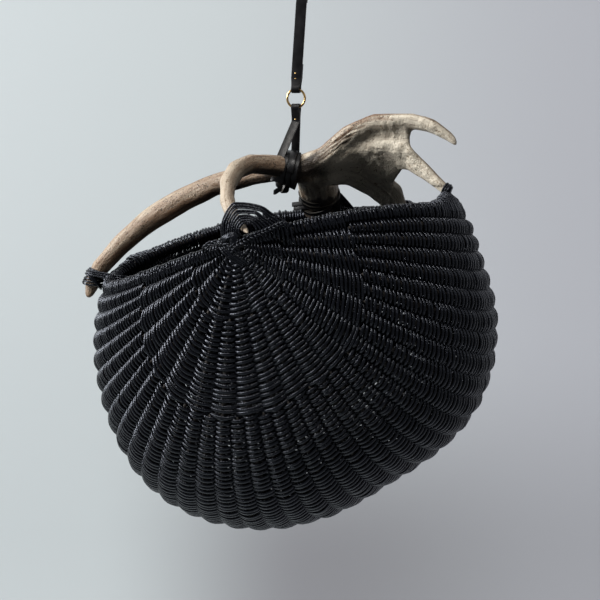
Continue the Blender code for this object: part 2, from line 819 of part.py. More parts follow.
def fold_radius():
    """Middle radius of a strap's fold, with room for the arc of the ring inside it."""
    half = STRAP_FOLD_WIDTH / 2
    sag = RING_RADIUS - math.sqrt(RING_RADIUS**2 - half**2)
    return RING_WIRE_RADIUS + sag + CLEARANCE + STRAP_THICKNESS / 2


def make_upper_strap(ring_place, group, material):
    """Upper strap, folded into a loop at the top and round the ring at the bottom."""
    gap = (STRAP_THICKNESS + CLEARANCE) / 2
    loop_middle = TOP_LOOP_RADIUS + STRAP_THICKNESS / 2
    fold = fold_radius()
    ring_top = ring_place.z + RING_RADIUS
    loop_reach = TOP_LOOP_REACH_SHARE * loop_middle
    top = [(y, -TOP_LOOP_RADIUS - z) for y, z in teardrop(loop_middle, loop_reach, gap)]
    low = [(y, ring_top + z) for y, z in teardrop(fold, LEG_PINCH, gap)]
    path = [(gap, -TOP_TAIL)] + list(reversed(top)) + low + [(gap, ring_top + LEG_PINCH + RING_TAIL)]
    asides = [ring_place.x * min(max(z / ring_top, 0.0), 1.0) for y, z in path]
    low_start = 1 + len(top)
    widths = [STRAP_WIDTH] * len(path)
    for index in range(low_start + 1, low_start + len(low) - 1):
        widths[index] = STRAP_FOLD_WIDTH
    mesh = strap_mesh("upper_strap", path, widths, asides)
    return add_object("upper_strap", mesh, group, None, material)


def make_lower_strap(ring_place, shaft_place, group, material, cutters):
    """Lower strap, hung in the ring by its fold, with a leg down each side of the antler's shaft."""
    gap = (STRAP_THICKNESS + CLEARANCE) / 2
    ring_low = ring_place.z - RING_RADIUS
    fold = [(y, ring_low - z) for y, z in teardrop(fold_radius(), LEG_PINCH, gap)]
    spread = BINDING_RADIUS - 2 * STRAP_THICKNESS
    front = (shaft_place.y - spread, shaft_place.z)
    back = (shaft_place.y + spread, shaft_place.z)
    straight = ring_low - LEG_PART_SHARE * LEG_PINCH
    path = [front, (-gap, straight)] + fold + [(gap, straight), back]
    widths = [STRAP_FOLD_WIDTH] * len(path)
    asides = [ring_place.x] * len(path)
    asides[0] = shaft_place.x - FRONT_LEG_ASIDE
    asides[-1] = shaft_place.x + BACK_LEG_ASIDE
    item = add_object("lower_strap", strap_mesh("lower_strap", path, widths, asides), group, None, material)
    for cutter in cutters:
        cut(item, cutter)
    return item


def make_ring(ring_place, group, material):
    """Brass ring between the two straps."""
    bpy.ops.mesh.primitive_torus_add(
        major_radius=RING_RADIUS,
        minor_radius=RING_WIRE_RADIUS,
        major_segments=RING_SEGMENTS,
        minor_segments=WIRE_SEGMENTS,
    )
    ring = bpy.context.object
    ring.name = "brass_ring"
    for owner in list(ring.users_collection):
        owner.objects.unlink(ring)
    group.objects.link(ring)
    ring.data.materials.append(material)
    ring.data.shade_smooth()
    ring.location = ring_place
    ring.rotation_euler = (math.radians(90), 0, 0)
    return ring


def main():
    """Build the basket, its antler and its hanger."""
    clear_scene()
    group = new_collection("antler_basket")
    cutters = new_collection("cutters")
    cord = new_material("black_cord", CORD_BLACK, 0.45)
    rod = new_material("rib_rod", RIB_BROWN, 0.6)
    bone = new_material("antler_bone", ANTLER_CREAM, 0.5)
    leather = new_material("black_leather", LEATHER_BLACK, 0.5)
    brass = new_material("brass", BRASS, 0.25, 1.0)

    ring_place = Vector((-RING_ASIDE, 0, -RING_DROP))
    frame = bpy.data.objects.new("basket_frame", None)
    group.objects.link(frame)
    frame.location = ring_place + Vector((-RIM_ASIDE, -RIM_FORWARD, -RIM_DROP))
    frame.rotation_euler = (0, -TILT, 0)
    placed = Matrix.Translation(frame.location) @ frame.rotation_euler.to_matrix().to_4x4()

    make_weave("weave_front", -1, group, frame, cord)
    make_weave("weave_back", 1, group, frame, cord)
    make_hoop(group, frame, rod)
    for rib in range(1, RIB_GAPS):
        make_rib(rib, group, frame, rod)
    antler = make_antler(group, frame, bone)
    antler_cutter = evaluated_copy(antler, "antler_room", cutters)
    grow_cutter(antler_cutter, ANTLER_ROOM)
    hide_cutter(antler_cutter)

    make_lashings(group, frame, cord, leather, antler_cutter)
    make_ear_plate("near_ear_plate", -1, group, frame, cord)
    make_ear_plate("far_ear_plate", 1, group, frame, cord)
    make_arch(group, frame, cord, antler_cutter)
    binding, binding_cutter = make_binding(group, cutters, frame, leather, antler_cutter)

    shaft_place = placed @ antler_place(LONG_TINE_SHARES[-2])
    make_upper_strap(ring_place, group, leather)
    make_ring(ring_place, group, brass)
    make_lower_strap(ring_place, shaft_place, group, leather, (binding_cutter, antler_cutter))


main()
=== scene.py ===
"""Black rib basket with an antler for its handle, hung on a leather strap and a brass ring."""

from __future__ import annotations

import json
import logging
import math
from dataclasses import dataclass, field
from enum import Enum

import bpy
import numpy as np
from bpy.types import Material, Mesh, Node, NodeSocket, NodeTree, Object
from mathutils import Matrix, Vector, noise
from mathutils.bvhtree import BVHTree

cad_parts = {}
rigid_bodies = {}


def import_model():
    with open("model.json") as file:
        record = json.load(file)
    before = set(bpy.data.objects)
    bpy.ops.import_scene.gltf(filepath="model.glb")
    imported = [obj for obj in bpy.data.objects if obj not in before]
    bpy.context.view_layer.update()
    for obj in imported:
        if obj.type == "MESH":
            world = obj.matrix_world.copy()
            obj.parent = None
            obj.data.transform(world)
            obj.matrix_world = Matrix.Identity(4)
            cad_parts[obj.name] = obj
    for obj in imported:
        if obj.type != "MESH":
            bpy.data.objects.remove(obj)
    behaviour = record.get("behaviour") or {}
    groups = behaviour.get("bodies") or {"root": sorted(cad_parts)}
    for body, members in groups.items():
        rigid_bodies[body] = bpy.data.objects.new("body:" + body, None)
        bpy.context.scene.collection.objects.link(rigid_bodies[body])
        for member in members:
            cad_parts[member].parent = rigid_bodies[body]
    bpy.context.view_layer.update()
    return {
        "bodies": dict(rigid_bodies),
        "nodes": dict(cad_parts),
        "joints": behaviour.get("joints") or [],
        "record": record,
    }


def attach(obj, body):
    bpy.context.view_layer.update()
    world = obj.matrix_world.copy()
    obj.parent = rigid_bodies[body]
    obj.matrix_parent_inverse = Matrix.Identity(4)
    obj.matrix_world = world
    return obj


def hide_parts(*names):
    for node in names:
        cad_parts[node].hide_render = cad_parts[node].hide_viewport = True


log = logging.getLogger("antler_basket")

Pair = tuple[float, float]
Point = tuple[float, float, float]

FRONT = np.array([0.0, -1.0, 0.0])
BACK = np.array([0.0, 1.0, 0.0])


class Tier(Enum):
    """Order in which a rib is set into the frame, with the lean that it starts from."""

    PRIMARY = 84.5
    SECONDARY = 77.0
    TERTIARY = 57.0


class Body(Enum):
    """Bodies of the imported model."""

    HANGER = "hanger"
    RING = "ring"
    BASKET = "basket"


# --------------------------------------------------------------------------- shapes


def unit(vectors: np.ndarray) -> np.ndarray:
    """Scale vectors to length 1.

    Args:
        vectors: One vector per row.

    Returns:
        The same directions at unit length.
    """
    return vectors / np.maximum(np.linalg.norm(vectors, axis=-1, keepdims=True), 1e-12)


def ease(value: np.ndarray | float) -> np.ndarray:
    """Rise smoothly from 0 at 0 to 1 at 1."""
    t = np.clip(value, 0.0, 1.0)
    return t * t * (3 - 2 * t)


def bump(value: np.ndarray | float, middle: float, width: float) -> np.ndarray:
    """Bell curve that is 1 at its middle."""
    return np.exp(-(((np.asarray(value) - middle) / width) ** 2))


def drift(rng: np.random.Generator, count: int, knots: int, size: float) -> np.ndarray:
    """Slow random change along a line.

    Args:
        rng: Source of the random numbers.
        count: Number of values.
        knots: Number of turning points.
        size: Spread of the values.

    Returns:
        One value per place on the line.
    """
    values = rng.normal(0.0, size, knots)
    at = np.linspace(0.0, knots - 1.0, count)
    low = np.minimum(at.astype(int), knots - 2)
    return values[low] + (values[low + 1] - values[low]) * ease(at - low)


def curve_through(table: tuple[Pair, ...], at: np.ndarray) -> np.ndarray:
    """Read a smooth curve through a table of places and values.

    Args:
        table: Rows of place and value, in rising order of place.
        at: Places to read.

    Returns:
        One value per place.
    """
    rows = np.array(table, float)
    last = len(rows) - 1
    cell = np.clip(np.searchsorted(rows[:, 0], at, side="left") - 1, 0, last - 1)
    before = rows[np.maximum(cell - 1, 0)]
    start = rows[cell]
    end = rows[cell + 1]
    after = rows[np.minimum(cell + 2, last)]
    span = end[..., 0] - start[..., 0]
    start_slope = (end[..., 1] - before[..., 1]) / (end[..., 0] - before[..., 0])
    end_slope = (after[..., 1] - start[..., 1]) / (after[..., 0] - start[..., 0])
    t = (at - start[..., 0]) / span
    first = (2 * t**3 - 3 * t**2 + 1) * start[..., 1] + (t**3 - 2 * t**2 + t) * span * start_slope
    second = (3 * t**2 - 2 * t**3) * end[..., 1] + (t**3 - t**2) * span * end_slope
    return first + second


def smooth_line(points: list[Point] | np.ndarray, count: int) -> np.ndarray:
    """Run a smooth line through points.

    Args:
        points: Places that the line passes through.
        count: Number of places on the finished line.

    Returns:
        Evenly spaced places on the line.
    """
    rows = np.array(points, float)
    padded = np.vstack([2 * rows[0] - rows[1], rows, 2 * rows[-1] - rows[-2]])
    fine = []
    for p0, p1, p2, p3 in zip(padded, padded[1:], padded[2:], padded[3:]):
        t = np.linspace(0.0, 1.0, 16, endpoint=False)[:, None]
        bend = (2 * p0 - 5 * p1 + 4 * p2 - p3) * t**2 + (3 * p1 - p0 - 3 * p2 + p3) * t**3
        fine.append(0.5 * (2 * p1 + (p2 - p0) * t + bend))
    return evenly(np.vstack([*fine, rows[-1:]]), count)


def lengths_along(line: np.ndarray) -> np.ndarray:
    """Length from the start of a line to each of its places."""
    return np.concatenate([[0.0], np.cumsum(np.linalg.norm(np.diff(line, axis=0), axis=1))])


def evenly(line: np.ndarray, count: int) -> np.ndarray:
    """Space places evenly along a line.

    Args:
        line: Places on the line.
        count: Number of places wanted.

    Returns:
        The new places.
    """
    lengths = lengths_along(line)
    at = np.linspace(0.0, lengths[-1], count)
    return np.column_stack([np.interp(at, lengths, line[:, axis]) for axis in range(3)])


def softened(line: np.ndarray, passes: int) -> np.ndarray:
    """Round the corners of a line, keeping its ends.

    Args:
        line: Places on the line.
        passes: How often each place moves toward its neighbours.

    Returns:
        The rounder line.
    """
    line = line.copy()
    for _ in range(passes):
        line[1:-1] = (line[:-2] + 2 * line[1:-1] + line[2:]) / 4
    return line


def plait(
    line: np.ndarray, up: np.ndarray, strands: int, half_width: float, turns: float, lift: float
) -> list[np.ndarray]:
    """Strands that pass over and under each other along a line.

    Args:
        line: Middle of the plait.
        up: Direction of its face.
        strands: How many strands it has.
        half_width: How far a strand goes to each side.
        turns: How often each strand crosses over and back.
        lift: How far a strand stands out where it passes over.

    Returns:
        One line per strand.
    """
    way = unit(np.gradient(line, axis=0))
    side = unit(np.cross(way, np.broadcast_to(up, line.shape)))
    top = np.cross(side, way)
    run = np.linspace(0.0, 2 * math.pi * turns, len(line))
    lines = []
    for strand in range(strands):
        phase = run + 2 * math.pi * strand / strands
        lines.append(line + side * (half_width * np.sin(phase))[:, None] + top * (lift * np.sin(2 * phase))[:, None])
    return lines


@dataclass
class Bundle:
    """Round or flat strands gathered into one mesh."""

    sides: int = 8
    corner: float = 1.0
    sharp_angle: float = 50.0
    places: list[np.ndarray] = field(default_factory=list)
    faces: list[np.ndarray] = field(default_factory=list)
    marks: list[np.ndarray] = field(default_factory=list)
    total: int = 0

    def section(self) -> tuple[np.ndarray, np.ndarray]:
        """Outline of a strand, which nears a rectangle when corner is under 1.

        Returns:
            Shares of the radius along up and across, one for each side.
        """
        turns = np.linspace(0.0, 2 * math.pi, self.sides, endpoint=False) + math.pi / self.sides
        up = np.sign(np.cos(turns)) * np.abs(np.cos(turns)) ** self.corner
        across = np.sign(np.sin(turns)) * np.abs(np.sin(turns)) ** self.corner
        return up[None, :, None], across[None, :, None]

    def add(
        self,
        line: np.ndarray,
        up: np.ndarray | Point,
        thick: float | np.ndarray,
        wide: float | np.ndarray | None = None,
        closed: bool = False,
    ) -> None:
        """Sweep one strand.

        Args:
            line: Places along its middle.
            up: Direction of its thin side at each place, or one for all.
            thick: Radius along up.
            wide: Radius across, if it isn't round.
            closed: Whether the line comes back to its start.
        """
        count = len(line)
        if closed:
            way = unit(np.roll(line, -1, axis=0) - np.roll(line, 1, axis=0))
        else:
            way = unit(np.gradient(line, axis=0))
        up = np.broadcast_to(np.asarray(up, float), line.shape)
        side = unit(np.cross(way, up))
        top = np.cross(side, way)
        thick = np.broadcast_to(np.asarray(thick, float), (count,))[:, None, None]
        wide = thick if wide is None else np.broadcast_to(np.asarray(wide, float), (count,))[:, None, None]
        rise, across = self.section()
        rings = line[:, None] + thick * rise * top[:, None] + wide * across * side[:, None]
        spans = count if closed else count - 1
        low = np.arange(spans)[:, None] * self.sides + np.arange(self.sides)
        low_next = np.arange(spans)[:, None] * self.sides + (np.arange(self.sides) + 1) % self.sides
        high = (low + self.sides) % (count * self.sides)
        high_next = (low_next + self.sides) % (count * self.sides)
        quads = np.stack([low, high, high_next, low_next], axis=-1).reshape(-1, 4)
        lengths = lengths_along(line)
        if closed:
            lengths = np.append(lengths, lengths[-1] + np.linalg.norm(line[0] - line[-1]))
        here = np.repeat(lengths[:spans], self.sides)
        there = np.repeat(lengths[1 : spans + 1], self.sides)
        around = np.tile(np.arange(self.sides) / self.sides, spans)
        beyond = around + 1 / self.sides
        corners = ((here, around), (there, around), (there, beyond), (here, beyond))
        marks = np.stack([np.column_stack(corner) for corner in corners], axis=1)
        if not closed:
            caps = np.array([[0, first, first + 1, first + 2] for first in range(1, self.sides - 2, 2)])
            far = (count - 1) * self.sides + caps[:, ::-1]
            quads = np.vstack([quads, caps, far])
            marks = np.concatenate([marks, np.zeros((2 * len(caps), 4, 2))])
        self.places.append(rings.reshape(-1, 3))
        self.faces.append(quads + self.total)
        self.marks.append(marks)
        self.total += count * self.sides

    def piece(self, name: str, material: Material, body: Body, replaced: tuple[str, ...] = ()) -> Object:
        """Make the object that holds the strands.

        Args:
            name: Name of the piece.
            material: Its finish.
            body: Body that it moves with.
            replaced: Names of the plain solids that it stands for.

        Returns:
            The new object.
        """
        places = np.vstack(self.places)
        faces = np.vstack(self.faces)
        mesh = bpy.data.meshes.new(name)
        mesh.vertices.add(len(places))
        mesh.vertices.foreach_set("co", places.ravel().astype(np.float32))
        mesh.loops.add(faces.size)
        mesh.loops.foreach_set("vertex_index", faces.ravel().astype(np.int32))
        mesh.polygons.add(len(faces))
        mesh.polygons.foreach_set("loop_start", np.arange(0, faces.size, 4, dtype=np.int32))
        mesh.update(calc_edges=True)
        layer = mesh.uv_layers.new(name="strand")
        layer.data.foreach_set("uv", np.concatenate(self.marks).ravel().astype(np.float32))
        mesh.shade_smooth()
        if self.corner < 1:
            mesh.set_sharp_from_angle(angle=math.radians(self.sharp_angle))
        return place_piece(name, mesh, material, body, replaced)


def place_piece(name: str, mesh: Mesh, material: Material, body: Body, replaced: tuple[str, ...] = ()) -> Object:
    """Put a mesh in the scene on its body.

    Args:
        name: Name of the piece.
        mesh: Its mesh, in the model's own frame.
        material: Its finish.
        body: Body that it moves with.
        replaced: Names of the plain solids that it stands for.

    Returns:
        The new object.
    """
    piece = bpy.data.objects.new(name, mesh)
    bpy.context.scene.collection.objects.link(piece)
    mesh.materials.append(material)
    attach(piece, body.value)
    if replaced:
        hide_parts(*replaced)
    log.info("%s: %d faces on %s", name, len(mesh.polygons), body.value)
    return piece


class Girth:
    """Girth of the antler along a short stretch, for what is drawn taut round it. Angle 0 is at the front."""

    DIRECTIONS: int = 72
    STATIONS: int = 9
    LEAST_FACING: float = 0.25

    def __init__(self, skin: BVHTree, start: np.ndarray, end: np.ndarray, reach: float) -> None:
        """Feel the bone from all round.

        Args:
            skin: Surface of the antler.
            start: Start of the stretch, inside the bone.
            end: Its end.
            reach: How far out the bone may be.
        """
        self.start = np.asarray(start, float)
        self.end = np.asarray(end, float)
        self.way = unit(self.end - self.start)
        self.second = unit(np.cross(self.way, FRONT))
        self.first = np.cross(self.second, self.way)
        self.angles = np.linspace(0.0, 2 * math.pi, self.DIRECTIONS, endpoint=False)
        self.stations = np.linspace(0.0, 1.0, self.STATIONS)
        self.supports = np.array([self.feel(skin, station, reach) for station in self.stations])

    def feel(self, skin: BVHTree, station: float, reach: float) -> np.ndarray:
        """Furthest reach of the bone in each direction at one station.

        Args:
            skin: Surface of the antler.
            station: How far along the stretch the station is.
            reach: How far out the bone may be.

        Returns:
            One reach per direction.
        """
        middle = self.start + (self.end - self.start) * station
        spots = []
        for angle in self.angles:
            out = self.first * math.cos(angle) + self.second * math.sin(angle)
            hit = skin.ray_cast(Vector(middle + out * reach), Vector(-out), reach)
            radius = reach - hit[3] if hit[0] is not None else 0.0
            spots.append((radius * math.cos(angle), radius * math.sin(angle)))
        ways = np.stack([np.cos(self.angles), np.sin(self.angles)])
        return (np.array(spots) @ ways).max(axis=0)

    def include(self, spot: np.ndarray, radius: float) -> None:
        """Take a rod that crosses the stretch into the girth.

        Args:
            spot: Place on the middle of the rod.
            radius: Its radius.
        """
        ways = np.outer(np.cos(self.angles), self.first) + np.outer(np.sin(self.angles), self.second)
        for number, station in enumerate(self.stations):
            middle = self.start + (self.end - self.start) * station
            self.supports[number] = np.maximum(self.supports[number], ways @ (spot - middle) + radius)

    def wind(self, shares: np.ndarray, angles: np.ndarray, lift: float | np.ndarray) -> tuple[np.ndarray, np.ndarray]:
        """Taut line round the bone.

        Args:
            shares: How far along the stretch each place is.
            angles: Angle round it, in radians.
            lift: How far the line lies off the bone.

        Returns:
            Places and outward directions.
        """
        shares = np.asarray(shares, float)
        lift = np.broadcast_to(np.asarray(lift, float), shares.shape)
        supports = np.stack([np.interp(shares, self.stations, column) for column in self.supports.T], axis=1)
        facing = np.cos(angles[:, None] - self.angles[None])
        ahead = np.maximum(facing, self.LEAST_FACING)
        radius = np.where(facing > self.LEAST_FACING, (supports + lift[:, None]) / ahead, np.inf).min(axis=1)
        out = self.first * np.cos(angles)[:, None] + self.second * np.sin(angles)[:, None]
        places = self.start + (self.end - self.start) * shares[:, None] + out * radius[:, None]
        return places, out


# --------------------------------------------------------------------------- finishes
# In each finish, relief holds the strength and the depth in metres of its fine relief.


class Tree:
    """Small helper that adds nodes to a material or a group and links them."""

    def __init__(self, tree: NodeTree) -> None:
        """Keep the tree that the nodes go to."""
        self.tree = tree

    def add(self, kind: str, values: dict[str | int, object] | None = None, **settings: object) -> Node:
        """Add a node.

        Args:
            kind: Type of the node.
            values: Input names or numbers, with a value or a socket for each.
            settings: Attributes of the node itself.

        Returns:
            The new node.
        """
        node = self.tree.nodes.new(kind)
        for key, value in settings.items():
            setattr(node, key, value)
        for key, value in (values or {}).items():
            self.set(node.inputs[key], value)
        return node

    def set(self, socket: NodeSocket, value: object) -> None:
        """Link a socket to another, or give it a value.

        Args:
            socket: Input to fill.
            value: A socket or a plain value.
        """
        if isinstance(value, NodeSocket):
            self.tree.links.new(value, socket)
        else:
            socket.default_value = value

    def math(self, operation: str, *values: object) -> NodeSocket:
        """Add a Math node.

        Args:
            operation: What it works out.
            values: Sockets or numbers for its inputs.

        Returns:
            Its result.
        """
        node = self.tree.nodes.new("ShaderNodeMath")
        node.operation = operation
        for socket, value in zip(node.inputs, values):
            self.set(socket, value)
        return node.outputs[0]

    def noise(self, vector: NodeSocket, scale: float, detail: float = 3.0, twist: float = 0.0) -> NodeSocket:
        """Add a noise texture and give back its value."""
        values = {"Vector": vector, "Scale": scale, "Detail": detail, "Distortion": twist}
        return self.add("ShaderNodeTexNoise", values).outputs[0]

    def band(self, value: NodeSocket, low: float, high: float) -> NodeSocket:
        """Rise smoothly from 0 at a low value to 1 at a high one, or fall where low is over high."""
        values = {"Value": value, "From Min": low, "From Max": high}
        return self.add("ShaderNodeMapRange", values, interpolation_type="SMOOTHSTEP").outputs[0]

    def ramp(self, value: NodeSocket, stops: list[tuple[float, Point]]) -> NodeSocket:
        """Add a colour ramp.

        Args:
            value: What it reads.
            stops: Places and colours.

        Returns:
            Its colour.
        """
        node = self.add("ShaderNodeValToRGB", {0: value})
        ramp = node.color_ramp
        while len(ramp.elements) < len(stops):
            ramp.elements.new(0.5)
        for element, (place, colour) in zip(ramp.elements, stops):
            element.position = place
            element.color = (*colour, 1.0)
        return node.outputs[0]

    def mix(self, share: object, first: object, second: object, blend: str = "MIX") -> NodeSocket:
        """Add a colour mix.

        Args:
            share: Share of the second colour.
            first: First colour.
            second: Second colour.
            blend: How the two are blended.

        Returns:
            Its colour.
        """
        node = self.add("ShaderNodeMix", data_type="RGBA", blend_type=blend)
        self.set(node.inputs[0], share)
        self.set(node.inputs[6], first)
        self.set(node.inputs[7], second)
        return node.outputs[2]

    def relief(self, shader: Node, height: NodeSocket, strength: float, distance: float) -> None:
        """Give a shader a fine relief.

        Args:
            shader: Shader whose normal it bends.
            height: Height of the relief.
            strength: How strongly it shows.
            distance: Its depth in metres.
        """
        node = self.add("ShaderNodeBump", {"Height": height, "Strength": strength, "Distance": distance})
        self.set(shader.inputs["Normal"], node.outputs[0])


def new_group(name: str, inputs: dict[str, float], outputs: dict[str, str]) -> tuple[NodeTree, Tree, Node, Node]:
    """Start a shader node group.

    Args:
        name: Name of the group.
        inputs: Names and values of its number inputs.
        outputs: Names and socket types of its outputs.

    Returns:
        The group, a helper for it, and its input and output nodes.
    """
    group = bpy.data.node_groups.new(name, "ShaderNodeTree")
    for label, value in inputs.items():
        socket = group.interface.new_socket(label, in_out="INPUT", socket_type="NodeSocketFloat")
        socket.default_value = value
    for label, kind in outputs.items():
        group.interface.new_socket(label, in_out="OUTPUT", socket_type=kind)
    tree = Tree(group)
    return group, tree, tree.add("NodeGroupInput"), tree.add("NodeGroupOutput")


def strand_lay_group() -> NodeTree:
    """Lay of twisted cord along a strand, as a height and a tone.

    Returns:
        The new group.
    """
    group, tree, given, result = new_group(
        "strand_lay", {"Lays": 420.0, "Fibre": 0.8}, {"Height": "NodeSocketFloat", "Tone": "NodeSocketFloat"}
    )
    mark = tree.add("ShaderNodeUVMap", uv_map="strand")
    parts = tree.add("ShaderNodeSeparateXYZ", {0: mark.outputs[0]})
    along = tree.math("MULTIPLY", parts.outputs[0], given.outputs["Lays"])
    helix = tree.math("ADD", along, tree.math("MULTIPLY", parts.outputs[1], 2.0))
    wave = tree.math("SINE", tree.math("MULTIPLY", helix, 2 * math.pi))
    place = tree.add("ShaderNodeTexCoord")
    fibre = tree.noise(place.outputs["Object"], 2600.0, 2.0)
    rough = tree.math("MULTIPLY", fibre, given.outputs["Fibre"])
    tree.set(result.inputs["Height"], tree.math("ADD", tree.math("MULTIPLY", wave, 0.5), rough))
    tree.set(result.inputs["Tone"], tree.noise(place.outputs["Object"], 150.0, 5.0))
    return group


def hide_grain_group() -> NodeTree:
    """Fine pores and creases of leather, as a height and a wear mask.

    Returns:
        The new group.
    """
    group, tree, given, result = new_group(
        "hide_grain", {"Pores": 900.0, "Creases": 120.0}, {"Height": "NodeSocketFloat", "Wear": "NodeSocketFloat"}
    )
    place = tree.add("ShaderNodeTexCoord")
    pores = tree.add("ShaderNodeTexVoronoi", {"Vector": place.outputs["Object"], "Scale": given.outputs["Pores"]})
    creases = tree.add(
        "ShaderNodeTexNoise", {"Vector": place.outputs["Object"], "Scale": given.outputs["Creases"], "Detail": 5.0}
    )
    pored = tree.math("MULTIPLY", pores.outputs[0], 0.4)
    tree.set(result.inputs["Height"], tree.math("ADD", pored, creases.outputs[0]))
    tree.set(result.inputs["Wear"], creases.outputs[0])
    return group


def new_material(name: str) -> tuple[Material, Tree, Node]:
    """Start a material.

    Args:
        name: Name of the material.

    Returns:
        The material, a helper for it and its shader.
    """
    material = bpy.data.materials.new(name)
    material.use_nodes = True
    return material, Tree(material.node_tree), material.node_tree.nodes["Principled BSDF"]


@dataclass(frozen=True)
class CordFinish:
    """Waxed black cord.

    Fields give its colours, its gloss and how many lays of its twist come to a metre.
    """

    name: str = "waxed_cord"
    dark: Point = (0.0005, 0.0005, 0.0009)
    light: Point = (0.0022, 0.0023, 0.0045)
    sheen: Point = (0.80, 0.86, 1.0)
    roughness: float = 0.24
    specular: float = 0.38
    lays: float = 360.0
    relief: Pair = (0.3, 0.0003)

    def build(self, lay: NodeTree) -> Material:
        """Make the material.

        Args:
            lay: Group that draws the twist.

        Returns:
            The new material.
        """
        material, tree, shader = new_material(self.name)
        twist = tree.add("ShaderNodeGroup", node_tree=lay)
        twist.inputs["Lays"].default_value = self.lays
        tree.set(shader.inputs["Base Color"], tree.ramp(twist.outputs["Tone"], [(0.3, self.dark), (0.72, self.light)]))
        gloss = tree.math("MULTIPLY_ADD", twist.outputs["Tone"], 0.22, self.roughness - 0.10)
        tree.set(shader.inputs["Roughness"], gloss)
        shader.inputs["Specular Tint"].default_value = (*self.sheen, 1.0)
        shader.inputs["Specular IOR Level"].default_value = self.specular
        tree.relief(shader, twist.outputs["Height"], *self.relief)
        return material


@dataclass(frozen=True)
class RodFinish:
    """Dark stained rod of the ribs and the hoop."""

    name: str = "stained_rod"
    dark: Point = (0.008, 0.007, 0.0065)
    light: Point = (0.034, 0.026, 0.020)
    roughness: float = 0.6
    relief: Pair = (0.4, 0.0004)

    def build(self) -> Material:
        """Make the material.

        Returns:
            The new material.
        """
        material, tree, shader = new_material(self.name)
        mark = tree.add("ShaderNodeUVMap", uv_map="strand")
        stretch = tree.add("ShaderNodeMapping", {"Vector": mark.outputs[0], "Scale": (30.0, 9.0, 1.0)})
        grain = tree.noise(stretch.outputs[0], 3.0, 6.0)
        tree.set(shader.inputs["Base Color"], tree.ramp(grain, [(0.35, self.dark), (0.7, self.light)]))
        shader.inputs["Roughness"].default_value = self.roughness
        tree.relief(shader, grain, *self.relief)
        return material


@dataclass(frozen=True)
class LeatherFinish:
    """Black leather, smooth on its face, with greyer cut edges that are painted pale, partly as a painted highlight
    along them.
    """

    name: str = "black_leather"
    dark: Point = (0.0016, 0.0016, 0.0020)
    light: Point = (0.0050, 0.0050, 0.0060)
    # Colour of the cut edges, partly their own grey and partly a painted highlight along them.
    edge: Point = (0.060, 0.054, 0.046)
    roughness: float = 0.38
    specular: float = 0.20
    relief: Pair = (0.3, 0.0003)

    def build(self, grain: NodeTree) -> Material:
        """Make the material.

        Args:
            grain: Group that draws pores and creases.

        Returns:
            The new material.
        """
        material, tree, shader = new_material(self.name)
        hide = tree.add("ShaderNodeGroup", node_tree=grain)
        face = tree.ramp(hide.outputs["Wear"], [(0.35, self.dark), (0.75, self.light)])
        mark = tree.add("ShaderNodeUVMap", uv_map="strand")
        around = tree.add("ShaderNodeSeparateXYZ", {0: mark.outputs[0]}).outputs[1]
        side = tree.math("FRACT", tree.math("MULTIPLY", around, 2.0))
        half = tree.math("ABSOLUTE", tree.math("SUBTRACT", side, 0.375))
        # Mask of the cut edges, whose pale colour is partly a painted highlight.
        edge_highlight_mask = tree.math("MULTIPLY", tree.band(half, 0.135, 0.115), tree.band(around, 0.02, 0.05))
        tree.set(shader.inputs["Base Color"], tree.mix(tree.math("MULTIPLY", edge_highlight_mask, 0.8), face, (*self.edge, 1.0)))
        dulled = tree.math("MULTIPLY_ADD", hide.outputs["Wear"], 0.3, self.roughness - 0.14)
        tree.set(shader.inputs["Roughness"], dulled)
        shader.inputs["Specular IOR Level"].default_value = self.specular
        tree.relief(shader, hide.outputs["Height"], *self.relief)
        return material


